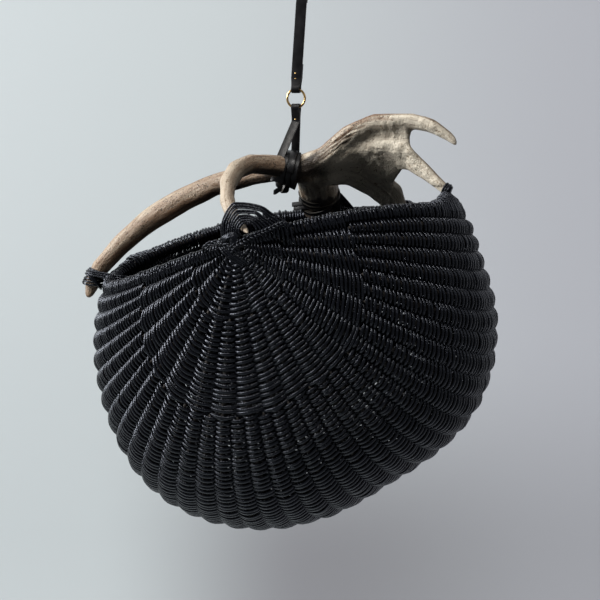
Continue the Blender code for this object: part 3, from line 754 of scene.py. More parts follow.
@dataclass(frozen=True)
class AntlerFinish:
    """Dry antler: cream and grey on the palm, warm brown in the furrows and along the beam, with painted shade in its
    creases, deep furrows and undersides.
    """

    name: str = "antler_bone"
    cream: Point = (0.72, 0.655, 0.53)
    tan: Point = (0.42, 0.34, 0.25)
    brown: Point = (0.185, 0.105, 0.055)
    umber: Point = (0.030, 0.020, 0.013)
    streak_scale: float = 260.0
    blot_scale: float = 42.0
    pore_scale: float = 900.0
    wrinkle_scale: float = 270.0
    pit_scale: float = 560.0
    relief: Pair = (0.7, 0.0013)

    def build(self) -> Material:
        """Make the material.

        Returns:
            The new material.
        """
        material, tree, shader = new_material(self.name)
        grain = tree.add("ShaderNodeAttribute", attribute_name="grain_place").outputs["Vector"]
        brown, pale, dark = (
            tree.add("ShaderNodeAttribute", attribute_name=name).outputs["Fac"] for name in ("brown", "pale", "dark")
        )
        place = tree.add("ShaderNodeTexCoord").outputs["Object"]
        streaks = tree.noise(grain, self.streak_scale, 6.0, 0.6)
        blots = tree.noise(grain, self.blot_scale, 4.0, 0.4)
        pores = tree.noise(place, self.pore_scale, 3.0)
        wrinkles = tree.noise(place, self.wrinkle_scale, 5.0, 1.4)
        pits = tree.band(tree.noise(place, self.pit_scale, 2.0), 0.56, 0.70)
        paleness = tree.math("ADD", pale, tree.math("MULTIPLY_ADD", blots, 1.1, -0.5))
        ground = tree.mix(tree.band(paleness, 0.0, 1.0), (*self.tan, 1.0), (*self.cream, 1.0))
        depth = tree.math("ADD", brown, tree.math("MULTIPLY_ADD", streaks, 1.5, -0.80))
        stained = tree.mix(tree.band(depth, -0.05, 0.95), ground, (*self.brown, 1.0))
        # Umber where the dark mask is strong: painted shade on undersides and in the deep furrows, with darker patches
        # and a ring, broken up by the wrinkle noise.
        painted_shade_and_marks_mask = tree.math("ADD", dark, tree.math("MULTIPLY_ADD", wrinkles, 0.7, -0.38))
        pitted = tree.mix(tree.math("MULTIPLY", pits, tree.band(brown, 0.15, 0.75)), stained, (*self.umber, 1.0))
        # Painted shade: the creases of the wrinkle relief are darkened.
        with_painted_crease_shade = tree.mix(tree.band(wrinkles, 0.42, 0.30), pitted, (*self.tan, 1.0), "MULTIPLY")
        painted_shade_and_marks = tree.mix(tree.band(painted_shade_and_marks_mask, 0.12, 0.85), with_painted_crease_shade, (*self.umber, 1.0))
        tree.set(shader.inputs["Base Color"], painted_shade_and_marks)
        tree.set(shader.inputs["Roughness"], tree.math("MULTIPLY_ADD", pores, 0.3, 0.36))
        height = tree.math("ADD", streaks, tree.math("MULTIPLY", pores, 0.22))
        height = tree.math("ADD", height, tree.math("MULTIPLY", wrinkles, 1.6))
        height = tree.math("SUBTRACT", height, tree.math("MULTIPLY", pits, 0.35))
        tree.relief(shader, height, *self.relief)
        return material


@dataclass(frozen=True)
class BrassFinish:
    """Polished brass with a little tarnish."""

    name: str = "polished_brass"
    bright: Point = (0.70, 0.47, 0.19)
    dull: Point = (0.30, 0.17, 0.065)

    def build(self) -> Material:
        """Make the material.

        Returns:
            The new material.
        """
        material, tree, shader = new_material(self.name)
        shader.inputs["Metallic"].default_value = 1.0
        place = tree.add("ShaderNodeTexCoord").outputs["Object"]
        tarnish = tree.noise(place, 300.0, 4.0)
        tree.set(shader.inputs["Base Color"], tree.ramp(tarnish, [(0.35, self.bright), (0.7, self.dull)]))
        tree.set(shader.inputs["Roughness"], tree.math("MULTIPLY_ADD", tarnish, 0.3, 0.10))
        return material


# --------------------------------------------------------------------------- basket


@dataclass
class BasketForm:
    """Shape of the woven wall, with its sizes in metres and its angles in degrees."""

    place: Point = (-0.0282, -0.0104, -0.318)
    tilt: float = 13.0
    half_length: float = 0.215
    half_depth: float = 0.150
    belly_depth: float = 0.316
    fullness: float = 0.35
    belly_shares: tuple[Pair, ...] = (
        (0, 0.982),
        (30, 1.054),
        (50, 1.099),
        (70, 1.055),
        (90, 0.981),
        (105, 0.940),
        (130, 0.978),
        (150, 0.970),
        (165, 0.953),
        (180, 0.994),
    )
    ear_aside: float = 0.006
    ear_rise: float = 0.0175
    rim_twist: float = 0.024
    far_rise: float = 0.010
    end_fall: float = 0.006
    rib_gap: float = 5.0
    rib_depth: float = 0.0048
    crest: float = 0.0024
    crest_share: float = 0.12
    hoop_depth: float = 0.00648
    rib_radius: float = 0.0030
    tip_radius: float = 0.0016
    hoop_radius: float = 0.0039

    def to_world(self, points: np.ndarray) -> np.ndarray:
        """Move points from the rim's frame to the model's frame."""
        return self.turned(points) + np.array(self.place)

    def turned(self, directions: np.ndarray) -> np.ndarray:
        """Turn directions from the rim's frame to the model's frame.

        Args:
            directions: One direction per row.

        Returns:
            The turned directions.
        """
        turn = math.radians(self.tilt)
        matrix = np.array([[math.cos(turn), 0, -math.sin(turn)], [0, 1, 0], [math.sin(turn), 0, math.cos(turn)]])
        return directions @ matrix.T

    def beside(self, spots: tuple[Point, ...]) -> np.ndarray:
        """Places from millimetres beside the rim's middle, along the model's axes."""
        return np.array(spots, float) / 1000 + np.array(self.place)

    def rim_height(self, x: np.ndarray, y: np.ndarray) -> np.ndarray:
        """Height of the rim's line over its plane.

        Args:
            x: Places along the rim's length.
            y: Places across it.

        Returns:
            One height per place.
        """
        along = x / self.half_length
        across = y / self.half_depth
        rise = self.ear_rise * across**2 - self.rim_twist * along * across
        return rise + self.far_rise * across - self.end_fall * along

    def belly_radius(self, turn: np.ndarray) -> np.ndarray:
        """Radius of the middle section at a turn, 0 at the left rim and 90 at the bottom."""
        plain = self.half_length + (self.belly_depth - self.half_length) * np.sin(np.radians(turn))
        return plain * curve_through(self.belly_shares, turn)

    def bare(self, turn: np.ndarray, lean: np.ndarray) -> np.ndarray:
        """Points of the smooth wall.

        Args:
            turn: Turns round the long axis.
            lean: Leans from the near ear to the far one.

        Returns:
            Places in the rim's frame.
        """
        turn, lean = np.broadcast_arrays(np.asarray(turn, float), np.asarray(lean, float))
        share = np.cos(np.radians(lean))
        reach = self.belly_radius(turn) * share
        power = 2 + self.fullness * np.sin(np.radians(turn))
        y = np.sign(lean) * self.half_depth * (1 - share**power) ** (1 / power)
        x = self.ear_aside * (y / self.half_depth) ** 2 - reach * np.cos(np.radians(turn))
        z = -reach * np.sin(np.radians(turn))
        keep = np.maximum(1 + z / self.belly_depth, 0.0) ** 2
        return np.stack([x, y, z + self.rim_height(x, y) * keep], axis=-1)

    def ear_way(self, turn: np.ndarray, lean: np.ndarray) -> np.ndarray:
        """Direction along the wall from the near ear to the far one."""
        return unit(self.bare(turn, lean + 0.5) - self.bare(turn, lean - 0.5))

    def normal(self, turn: np.ndarray, lean: np.ndarray) -> np.ndarray:
        """Outward normal of the smooth wall.

        Args:
            turn: Turns round the long axis.
            lean: Leans from the near ear to the far one.

        Returns:
            Unit vectors in the rim's frame.
        """
        low = np.maximum(turn - 0.5, 0.0)
        high = np.minimum(turn + 0.5, 180.0)
        return unit(np.cross(self.ear_way(turn, lean), self.bare(high, lean) - self.bare(low, lean)))

    def crest_height(self, turn: np.ndarray, lean: np.ndarray) -> np.ndarray:
        """How far the weave stands out over a rib, which is less where the ribs run together.

        Args:
            turn: Turns round the long axis.
            lean: Leans from the near ear to the far one.

        Returns:
            Heights over the smooth wall.
        """
        reach = self.belly_radius(turn) * np.cos(np.radians(lean))
        second = ease((reach - 0.050) / 0.040)
        third = ease((reach - 0.105) / 0.040)
        spacing = np.radians(4 * self.rib_gap) * (1 - second / 2 - second * third / 4)
        return np.minimum(self.crest, self.crest_share * reach * spacing)

    def rib_point(self, turn: np.ndarray, lean: np.ndarray) -> np.ndarray:
        """Place on the surface that the ribs' middles lie on."""
        depth = self.crest_height(turn, lean) - self.rib_depth
        return self.bare(turn, lean) + self.normal(turn, lean) * depth[..., None]

    def rib_size(self, tier: Tier, lean: np.ndarray | float) -> np.ndarray:
        """Radius of a rib, which tapers to its tips."""
        taper = ease((tier.value - np.abs(lean)) / 10)
        return self.tip_radius + (self.rib_radius - self.tip_radius) * taper

    def rim_frame(self, end: float, lean: np.ndarray) -> tuple[np.ndarray, np.ndarray, np.ndarray]:
        """Middle, outward and upward directions of the hoop.

        Args:
            end: Turn of the rim, 0 or 180.
            lean: Leans along it.

        Returns:
            Centres, outward and upward directions.
        """
        turn = np.full_like(lean, end)
        outward = self.normal(turn, lean)
        upward = np.cross(self.ear_way(turn, lean), outward) * (-1.0 if end > 90 else 1.0)
        depth = self.crest_height(turn, lean) - self.hoop_depth
        return self.bare(turn, lean) + outward * depth[:, None], outward, upward


@dataclass
class WovenWall:
    """Rows of cord that pass over and under the ribs and wrap round the hoop.

    Leans and turns are in degrees, and a pair of leans is the middle and the width of a stretch of the rim.
    """

    form: BasketForm
    rows: int = 276
    last_lean: float = 87.4
    cord_radius: float = 0.00130
    steps_per_gap: int = 7
    bands: int = 8
    hood_lean: float = -5.0
    hood_widths: Pair = (11.0, 12.0)
    hood_rise: float = 0.0165
    even_turn: float = 62.0
    wrap_turn: float = 250.0
    wrap_places: int = 15
    wrap_layer: float = 1.7
    bulge: float = 0.0040
    bulge_leans: Pair = (17.0, 7.0)
    fraying: float = 0.0022
    frayed_leans: Pair = (66.0, 17.0)
    unevenness: float = 0.20
    wander: float = 0.00016
    lift_range: Pair = (0.88, 1.07)
    most_pressed: float = 1.7
    seed: int = 7

    def __post_init__(self) -> None:
        """Start the random numbers that make the hand-woven rows uneven."""
        self.rng = np.random.default_rng(self.seed)

    def row_leans(self) -> np.ndarray:
        """Leans of the rows, evenly spaced along the belly from ear to ear.

        Returns:
            One lean per row.
        """
        fine = np.linspace(-self.last_lean, self.last_lean, 1200)
        places = self.form.bare(np.full_like(fine, self.even_turn), fine)
        lengths = lengths_along(places)
        return np.interp(np.linspace(0.0, lengths[-1], self.rows), lengths, fine)

    def gap_of(self, lean: float) -> float:
        """Spacing of the ribs that run through a row.

        Args:
            lean: Lean of the row.

        Returns:
            The spacing in degrees.
        """
        if abs(lean) > Tier.SECONDARY.value:
            return 4 * self.form.rib_gap
        if abs(lean) > Tier.TERTIARY.value:
            return 2 * self.form.rib_gap
        return self.form.rib_gap

    def rod_sizes(self, lean: float, gap: float) -> np.ndarray:
        """Radii of the hoop and of the ribs that a row meets, from rim to rim.

        Args:
            lean: Lean of the row.
            gap: Spacing of its ribs, in degrees.

        Returns:
            One radius per crossing.
        """
        step = round(gap / self.form.rib_gap)
        last = round(180 / self.form.rib_gap)
        sizes = []
        for rib in range(0, last + 1, step):
            if rib in (0, last):
                sizes.append(self.form.hoop_radius + 0.0001)
            elif abs(lean) > RibFrame.tier(rib).value:
                sizes.append(0.0002)
            else:
                sizes.append(float(self.form.rib_size(RibFrame.tier(rib), lean)) + 0.0002)
        return np.array(sizes)

    def looseness(self, end: float, lean: float) -> float:
        """How far a wrap stands off the hoop, which the hand that wove it left uneven.

        Args:
            end: Turn of the rim, 0 or 180.
            lean: Lean of the row.

        Returns:
            The extra distance.
        """
        loose = 0.0004 * math.sin(lean * 0.9) + 0.0003 * math.sin(lean * 2.3 + end)
        if end == 0:
            loose += self.bulge * float(bump(lean, *self.bulge_leans))
            loose += float(bump(lean, *self.frayed_leans)) * abs(float(self.rng.normal(0.0, self.fraying)))
        return max(loose, -0.0003)

    def wrap(self, end: float, lean: float, outside: bool, pitch: float) -> tuple[np.ndarray, np.ndarray]:
        """Turn of a row's cord round the hoop.

        Args:
            end: Turn of the rim, 0 or 180.
            lean: Lean of the row.
            outside: Whether the cord comes to the hoop on the outside.
            pitch: How far the turn moves along the rim, in degrees.

        Returns:
            Places and up directions, from the wall outward along the cord.
        """
        first, last = (0.0, self.wrap_turn) if outside else (180.0, 180.0 - self.wrap_turn)
        share = np.linspace(0.0, 1.0, self.wrap_places)[1:]
        angles = np.radians(first + (last - first) * share)
        centre, outward, upward = self.form.rim_frame(end, lean + pitch * share)
        way = outward * np.cos(angles)[:, None] + upward * np.sin(angles)[:, None]
        layer = self.wrap_layer * self.cord_radius if outside else 0.0
        off = (layer + self.looseness(end, lean)) * ease(share * 6)
        if end > 90:
            width = self.hood_widths[0] if lean < self.hood_lean else self.hood_widths[1]
            hood = self.hood_rise * float(bump(lean, self.hood_lean, width))
            centre = centre + upward * (hood * np.maximum(np.sin(angles), 0.0) ** 0.7)[:, None]
        return centre + way * (self.form.hoop_radius + self.cord_radius + off)[:, None], way if outside else -way

    def row(self, index: int, lean: float, pitch: float) -> tuple[np.ndarray, np.ndarray, np.ndarray]:
        """One row of cord from rim to rim.

        Args:
            index: Number of the row, which sets where it goes over.
            lean: Lean of the row.
            pitch: Spacing of the rows, in degrees.

        Returns:
            Places, up directions and half widths along the cord.
        """
        gap = self.gap_of(lean)
        gaps = round(180 / gap)
        phase = np.linspace(0.0, gaps, gaps * self.steps_per_gap + 1)
        turn = phase * gap
        sign = np.cos(math.pi * (phase + index))
        over = np.sign(sign) * np.abs(sign) ** 0.8
        knots = gaps + 3
        leans = lean + pitch * drift(self.rng, len(turn), knots, self.unevenness)
        leans = np.clip(leans, -self.last_lean, self.last_lean)
        near_end = 1 - ease(np.minimum(phase, gaps - phase))
        crest = self.form.crest_height(turn, leans)
        middle = crest - self.form.rib_depth + (self.form.rib_depth - self.form.hoop_depth) * near_end
        lift = np.interp(phase, np.arange(gaps + 1), self.rod_sizes(lean, gap)) + self.cord_radius
        lift = lift * float(self.rng.uniform(*self.lift_range))
        normal = self.form.normal(turn, leans)
        off = middle + lift * over + drift(self.rng, len(turn), knots, self.wander)
        line = self.form.bare(turn, leans) + normal * off[:, None]
        left_line, left_up = self.wrap(0.0, float(leans[0]), index % 2 == 0, pitch)
        right_line, right_up = self.wrap(180.0, float(leans[-1]), (index + gaps) % 2 == 0, pitch)
        places = np.vstack([left_line[::-1], line, right_line])
        ups = np.vstack([left_up[::-1], normal, right_up])
        step = self.form.bare(turn, lean + pitch / 2) - self.form.bare(turn, lean - pitch / 2)
        spacing = np.linalg.norm(step, axis=1)
        pressed = np.clip(spacing * 0.75, self.cord_radius, self.most_pressed * self.cord_radius)
        ends = np.full(len(left_line), self.cord_radius)
        return places, ups, np.concatenate([ends, pressed, ends])

    def build(self, cord: Material) -> None:
        """Weave the wall in bands that go from one ear to the other.

        Args:
            cord: Finish of the cord.
        """
        leans = self.row_leans()
        pitches = np.gradient(leans)
        for band in range(self.bands):
            rows = range(band * self.rows // self.bands, (band + 1) * self.rows // self.bands)
            bundle = Bundle(sides=6)
            for index in rows:
                line, up, wide = self.row(index, float(leans[index]), float(pitches[index]))
                size = float(np.clip(self.rng.normal(1.0, 0.05), 0.88, 1.1))
                bundle.add(self.form.to_world(line), self.form.turned(up), self.cord_radius * size, wide * size)
            replaced = ["weave_front" if band < self.bands / 2 else "weave_back"]
            if band == 0:
                replaced.append("near_ear_plate")
            if band == self.bands - 1:
                replaced.append("far_ear_plate")
            bundle.piece(f"woven_rows_{band + 1}", cord, Body.BASKET, tuple(replaced))


@dataclass
class RibFrame:
    """Ribs in three orders and the hoop that they hang from."""

    form: BasketForm
    ribs: int = 35
    rib_places: int = 61
    hoop_lean: float = 86.0
    hoop_places: int = 90

    @staticmethod
    def tier(rib: int) -> Tier:
        """Order of a rib by its number.

        Args:
            rib: Number of the rib, from the left rim.

        Returns:
            Its order.
        """
        if rib % 4 == 0:
            return Tier.PRIMARY
        return Tier.SECONDARY if rib % 2 == 0 else Tier.TERTIARY

    def build(self, rod: Material) -> None:
        """Make the ribs and the hoop.

        Args:
            rod: Finish of the rods.
        """
        bundle = Bundle()
        names = []
        for rib in range(1, self.ribs + 1):
            tier = self.tier(rib)
            names.append(f"rib_{rib:02d}_{tier.name.lower()}")
            leans = np.linspace(-tier.value, tier.value, self.rib_places)
            turns = np.full_like(leans, rib * self.form.rib_gap)
            up = self.form.turned(self.form.normal(turns, leans))
            bundle.add(self.form.to_world(self.form.rib_point(turns, leans)), up, self.form.rib_size(tier, leans))
        bundle.piece("ribs", rod, Body.BASKET, tuple(names))
        leans = np.linspace(-self.hoop_lean, self.hoop_lean, self.hoop_places)
        left, left_out, _ = self.form.rim_frame(0.0, leans)
        right, right_out, _ = self.form.rim_frame(180.0, leans[::-1])
        hoop = Bundle()
        up = self.form.turned(np.vstack([left_out, right_out]))
        hoop.add(self.form.to_world(np.vstack([left, right])), up, self.form.hoop_radius, closed=True)
        hoop.piece("hoop", rod, Body.BASKET, ("rim_hoop",))


@dataclass
class Ears:
    """Fan of strands over the near ear, and the bands that cross both ears.

    Radii are in metres, and places in millimetres beside the rim's middle.
    """

    form: BasketForm
    cord_radius: float = 0.00112
    band_radius: float = 0.00100
    cover_radius: float = 0.00110
    tuft_radius: float = 0.00105
    far_radius: float = 0.00125
    eye: Point = (20.6, -157.0, 24.4)
    inner: float = 9.8
    strands: int = 9
    open_strands: tuple[int, ...] = (4, 6)
    under_step: Pair = (1.4, 4.0)
    fan_span: Pair = (-14.0, 208.0)
    fan_places: int = 90
    fall_back: float = 10.0
    outline: tuple[Pair, ...] = (
        (-20, 48.0),
        (10, 41.5),
        (20, 36.0),
        (40, 29.2),
        (60, 28.0),
        (83, 27.6),
        (100, 29.0),
        (113, 31.4),
        (124, 34.2),
        (135, 33.6),
        (150, 32.8),
        (173, 32.2),
        (195, 32.6),
        (215, 33.6),
    )
    slits: tuple[Point, ...] = ((68.0, 15.0, 18.6), (53.0, 13.0, 23.6), (164.0, 9.0, 25.6))
    left_band: tuple[Point, ...] = (
        (-31.0, -148.0, 2.0),
        (-27.5, -155.5, 6.5),
        (-22.0, -158.5, 10.5),
        (-14.0, -159.5, 12.6),
        (-5.0, -160.5, 11.6),
        (4.0, -161.0, 8.2),
        (11.0, -160.0, 4.0),
        (15.0, -157.0, -1.0),
    )
    right_band: tuple[Point, ...] = (
        (2.0, -158.0, 3.0),
        (7.0, -161.5, 9.2),
        (15.8, -162.0, 13.8),
        (26.0, -160.5, 19.2),
        (36.1, -159.0, 23.7),
        (47.8, -157.5, 29.0),
        (58.0, -155.0, 33.5),
        (64.0, -149.0, 31.0),
    )
    cover: tuple[Point, ...] = (
        (-8.0, -156.0, 10.0),
        (-4.0, -158.5, 5.5),
        (1.0, -159.0, 1.0),
        (6.0, -158.5, -3.0),
        (11.0, -156.5, -6.5),
        (15.0, -152.0, -10.0),
    )
    tuft: tuple[Point, ...] = (
        (-7.5, -158.0, 10.0),
        (-5.4, -161.0, 16.5),
        (-0.4, -162.5, 19.9),
        (5.6, -163.0, 21.8),
        (9.7, -163.0, 19.1),
        (7.8, -162.5, 12.6),
        (4.0, -160.0, 6.0),
    )

    def slit_shift(self, radius: float, angles: np.ndarray) -> np.ndarray:
        """How far a strand is pushed off the slits that light falls through, in millimetres.

        Args:
            radius: Distance of the strand from the fan's eye.
            angles: Angles along it, in degrees.

        Returns:
            One shift per angle.
        """
        shift = np.zeros_like(angles)
        for middle, width, reach in self.slits:
            away = radius - reach
            shift += 1.1 * math.tanh(away / 0.8) * math.exp(-((away / 4.5) ** 2)) * bump(angles, middle, width)
        return shift

    def fan(self, cord: Material) -> None:
        """Strands that lie side by side round the tip of the near tine.

        Args:
            cord: Finish of the strands.
        """
        bundle = Bundle()
        inward, behind = self.under_step
        angles = np.linspace(*self.fan_span, self.fan_places)
        reach = curve_through(self.outline, angles)
        out = np.column_stack([np.cos(np.radians(angles)), np.zeros_like(angles), np.sin(np.radians(angles))])
        for strand in range(self.strands):
            share = strand / (self.strands - 1)
            radius = self.inner + (reach - self.inner) * share
            radius = radius + self.slit_shift(float(radius[50]), angles)
            depth = self.fall_back * share - 0.55 * (strand % 2)
            spots = np.array(self.eye) + out * radius[:, None] + BACK * depth
            spots[:, 1] += 2.5 * ease((-2 - angles) / 14) + 2.5 * ease((angles - 196) / 12)
            bundle.add(self.form.beside(spots), FRONT, self.cord_radius)
            if strand and strand not in self.open_strands:
                spots = np.array(self.eye) + out * (radius - inward)[:, None] + BACK * (depth + behind)
                bundle.add(self.form.beside(spots), FRONT, self.cord_radius)
        bundle.piece("ear_fan", cord, Body.BASKET, ("near_ear_arch",))

    def bands(self, cord: Material) -> None:
        """Bands that cross below the fan and hold it to the wall.

        Args:
            cord: Finish of the bands.
        """
        bundle = Bundle()
        line = smooth_line(self.left_band, 70)
        for strand in plait(line, FRONT, 3, 1.9, 2.5, 0.7):
            bundle.add(self.form.beside(strand), FRONT, self.band_radius)
        for offset in range(4):
            shift = np.array([2.3 * (offset - 1.5), 0.4 * (offset % 2), 0.9 * (offset - 1.5)])
            bundle.add(self.form.beside(smooth_line(self.cover, 40) + shift), FRONT, self.cover_radius)
        for offset in range(5):
            line = smooth_line(self.tuft, 50)
            middle = line.mean(axis=0)
            shrink = 1.18 - 0.17 * offset
            spots = middle + (line - middle) * np.array([shrink, 1.0, shrink]) + FRONT * (0.3 * offset)
            bundle.add(self.form.beside(spots), FRONT, self.tuft_radius)
        line = smooth_line(self.right_band, 110)
        width = np.interp(np.linspace(0, 1, 110), (0, 0.25, 0.8, 1), (2.0, 2.5, 1.6, 0.9))[:, None]
        for strand in plait(line, FRONT, 4, 1.0, 4.5, 0.75):
            bundle.add(self.form.beside(line + (strand - line) * width), FRONT, self.cord_radius)
        bundle.piece("ear_bands", cord, Body.BASKET)

    def far(self, cord: Material) -> None:
        """Crossed bands that close the far ear.

        Args:
            cord: Finish of the bands.
        """
        bundle = Bundle()
        for mirror in (1.0, -1.0):
            for offset in range(3):
                angles = np.radians(np.linspace(-38, 218, 40))
                radius = 20.0 + 3.0 * offset
                x = self.form.ear_aside * 1000 + mirror * (3.0 + radius * 0.95 * np.cos(angles))
                z = 20.0 + 0.62 * radius * np.sin(angles)
                y = np.full_like(x, 156.2 + 1.3 * (1 + mirror) / 2) - 3.5 * ease((np.abs(np.cos(angles)) - 0.6) / 0.4)
                spots = np.column_stack([x, y, z]) / 1000
                bundle.add(self.form.to_world(spots), BACK, self.far_radius)
        bundle.piece("far_ear_bands", cord, Body.BASKET)

    def build(self, cord: Material) -> None:
        """Make the fan and the bands.

        Args:
            cord: Finish of the cord.
        """
        self.fan(cord)
        self.bands(cord)
        self.far(cord)


# --------------------------------------------------------------------------- antler


@dataclass
class Antler:
    """Antler grown from its plain solid, with furrows along its branches.

    Places on the branches are shares of the rim's half length, its half depth and the handle's rise. The tables of
    the bow and of the deep furrows are in millimetres beside the rim's middle.
    """

    form: BasketForm
    voxel: float = 0.0016
    smoothing: int = 12
    seat_rise: float = 0.110
    beam_radius: float = 0.011
    roll: float = 0.0080
    clearance: float = 0.0003
    furrow: float = 0.00042
    furrow_width: float = 0.0013
    deep_furrow: float = 0.0011
    ridge_scales: Pair = (210.0, 430.0)
    crumple: float = 0.0008
    crumple_scale: Point = (120.0, 70.0, 120.0)
    blend_reach: float = 0.010
    grain_stretch: float = 0.06
    long_tine: tuple[Point, ...] = (
        (0.254, 0.040, 0.458),
        (0.168, 0.013, 0.496),
        (0.062, 0.053, 0.542),
        (-0.092, 0.093, 0.545),
        (-0.306, 0.107, 0.509),
        (-0.492, 0.093, 0.417),
        (-0.716, 0.067, 0.253),
        (-0.895, 0.033, 0.110),
        (-1.041, 0.000, -0.058),
        (-1.110, -0.027, -0.236),
        (-1.133, -0.053, -0.345),
    )
    near_tine: tuple[Point, ...] = (
        (0.173, 0.000, 0.505),
        (0.081, -0.120, 0.579),
        (0.007, -0.253, 0.625),
        (-0.034, -0.413, 0.585),
        (-0.046, -0.587, 0.464),
        (-0.029, -0.747, 0.294),
        (0.024, -0.893, 0.094),
        (0.106, -1.027, -0.046),
        (0.130, -1.073, -0.081),
    )
    base: tuple[Point, ...] = (
        (0.224, 0.053, 0.471),
        (0.228, 0.233, 0.390),
        (0.187, 0.467, 0.282),
        (0.139, 0.640, 0.191),
        (0.106, 0.730, 0.098),
        (0.085, 0.765, 0.000),
    )
    top_tine: tuple[Point, ...] = (
        (0.220, 0.033, 0.494),
        (0.350, 0.033, 0.546),
        (0.510, 0.013, 0.696),
        (0.656, 0.000, 0.752),
        (0.852, -0.030, 0.682),
        (0.952, -0.053, 0.588),
        (1.023, -0.067, 0.452),
        (1.064, -0.087, 0.326),
    )
    second_tine: tuple[Point, ...] = (
        (0.331, 0.067, 0.454),
        (0.525, 0.087, 0.482),
        (0.684, 0.080, 0.422),
        (0.779, 0.060, 0.339),
        (0.822, 0.047, 0.233),
        (0.884, 0.027, 0.089),
        (0.936, 0.000, -0.037),
        (0.963, -0.007, -0.091),
    )
    third_tine: tuple[Point, ...] = (
        (0.309, 0.120, 0.358),
        (0.433, 0.187, 0.344),
        (0.518, 0.300, 0.204),
        (0.560, 0.433, 0.063),
        (0.562, 0.560, -0.067),
        (0.549, 0.650, -0.186),
        (0.537, 0.700, -0.261),
    )
    bow_rise: tuple[Pair, ...] = ((-260, 0), (-222, 0.4), (-190, 4.0), (-160, 7.0), (-120, 4.5), (-80, 2.0), (-40, 0))
    bow_swell: tuple[Pair, ...] = ((-260, 0), (-235, 0.6), (-200, 2.2), (-150, 3.0), (-100, 2.0), (-50, 0.4), (0, 0))
    deep_furrows: tuple[tuple[Point, ...], ...] = (
        (
            (36.0, 4.0, 97.0),
            (46.1, 4.0, 101.6),
            (60.2, 4.0, 110.4),
            (77.6, 4.0, 122.0),
            (94.8, 4.0, 131.5),
            (112.7, 4.0, 136.5),
        ),
        ((40.0, 4.0, 95.0), (52.0, 4.0, 100.5), (64.8, 4.0, 108.9), (81.0, 4.0, 120.2), (97.2, 4.0, 128.0)),
        ((46.8, 4.0, 93.1), (60.8, 4.0, 101.9), (77.0, 4.0, 113.2), (90.2, 4.0, 120.0)),
    )

    def place(self, shares: tuple[Point, ...]) -> np.ndarray:
        """Places in the model's frame from shares of the rim and of the handle's rise.

        Args:
            shares: Shares of the rim's half length, its half depth and the handle's rise.

        Returns:
            One place per row.
        """
        rows = np.array(shares, float)
        x = rows[:, 0] * self.form.half_length
        y = rows[:, 1] * self.form.half_depth
        end = float(self.form.rim_height(np.array(-self.form.half_length), np.array(0.0)))
        seat = end + self.roll + self.beam_radius + self.clearance
        return self.form.to_world(np.column_stack([x, y, seat + rows[:, 2] * self.seat_rise]))

    def branches(self) -> list[np.ndarray]:
        """Middle lines of all branches, each from the shaft outward."""
        tables = (self.long_tine, self.near_tine, self.base, self.top_tine, self.second_tine, self.third_tine)
        return [smooth_line(self.place(table), 90) for table in tables]

    def palm_normal(self) -> np.ndarray:
        """Direction that the flat of the palm faces."""
        spots = self.place((self.top_tine[3], self.second_tine[3], self.base[0]))
        return unit(np.cross(spots[1] - spots[0], spots[2] - spots[0]))

    def nearest(self, places: np.ndarray) -> tuple[np.ndarray, np.ndarray, np.ndarray]:
        """Coordinates that run with the branches.

        Args:
            places: Vertices of the antler.

        Returns:
            A place for the grain at each vertex, the way from the shaft along the branches, and how much
            each branch counts at the vertex.
        """
        weights = []
        offsets = []
        reaches = []
        for line in self.branches():
            lengths = lengths_along(line)
            gaps = np.linalg.norm(places[:, None] - line[None], axis=2)
            nearest = gaps.argmin(axis=1)
            way = unit(np.gradient(line, axis=0))[nearest]
            offset = places - line[nearest]
            step = np.einsum("nc,nc->n", offset, way)
            offsets.append(offset - way * step[:, None])
            reaches.append(lengths[nearest] + step)
            weights.append(np.exp(-((gaps.min(axis=1) / self.blend_reach) ** 2)) + 1e-6)
        share = np.array(weights) / np.sum(weights, axis=0)
        offset = np.einsum("kn,knc->nc", share, np.array(offsets))
        reach = np.einsum("kn,kn->n", share, np.array(reaches))
        return offset + reach[:, None] * self.grain_stretch, reach, share

    def grow(self, frame: dict) -> Mesh:
        """Fine even mesh over the plain solid.

        Args:
            frame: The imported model.

        Returns:
            The new mesh.
        """
        mesh = frame["nodes"]["antler"].data.copy()
        mesh.materials.clear()
        work = bpy.data.objects.new("antler_work", mesh)
        bpy.context.scene.collection.objects.link(work)
        remesh = work.modifiers.new("Fine", "REMESH")
        remesh.mode = "VOXEL"
        remesh.voxel_size = self.voxel
        soften = work.modifiers.new("Soften", "SMOOTH")
        soften.iterations = self.smoothing
        graph = bpy.context.evaluated_depsgraph_get()
        fine = bpy.data.meshes.new_from_object(work.evaluated_get(graph))
        bpy.data.objects.remove(work, do_unlink=True)
        return fine

    def bow(self, places: np.ndarray, normals: np.ndarray, share: np.ndarray) -> np.ndarray:
        """Fuller bow of the long tine, which stands higher between the strap and the rim.

        Args:
            places: Vertices.
            normals: Their normals.
            share: How much each branch counts.

        Returns:
            How far each vertex moves.
        """
        x = (places[:, 0] - self.form.place[0]) * 1000
        rise = curve_through(self.bow_rise, np.clip(x, self.bow_rise[0][0], self.bow_rise[-1][0]))
        swell = curve_through(self.bow_swell, np.clip(x, self.bow_swell[0][0], self.bow_swell[-1][0]))
        lift = np.array([-0.45, 0.0, 0.9]) * rise[:, None] + normals * swell[:, None]
        return lift * share[0][:, None] / 1000

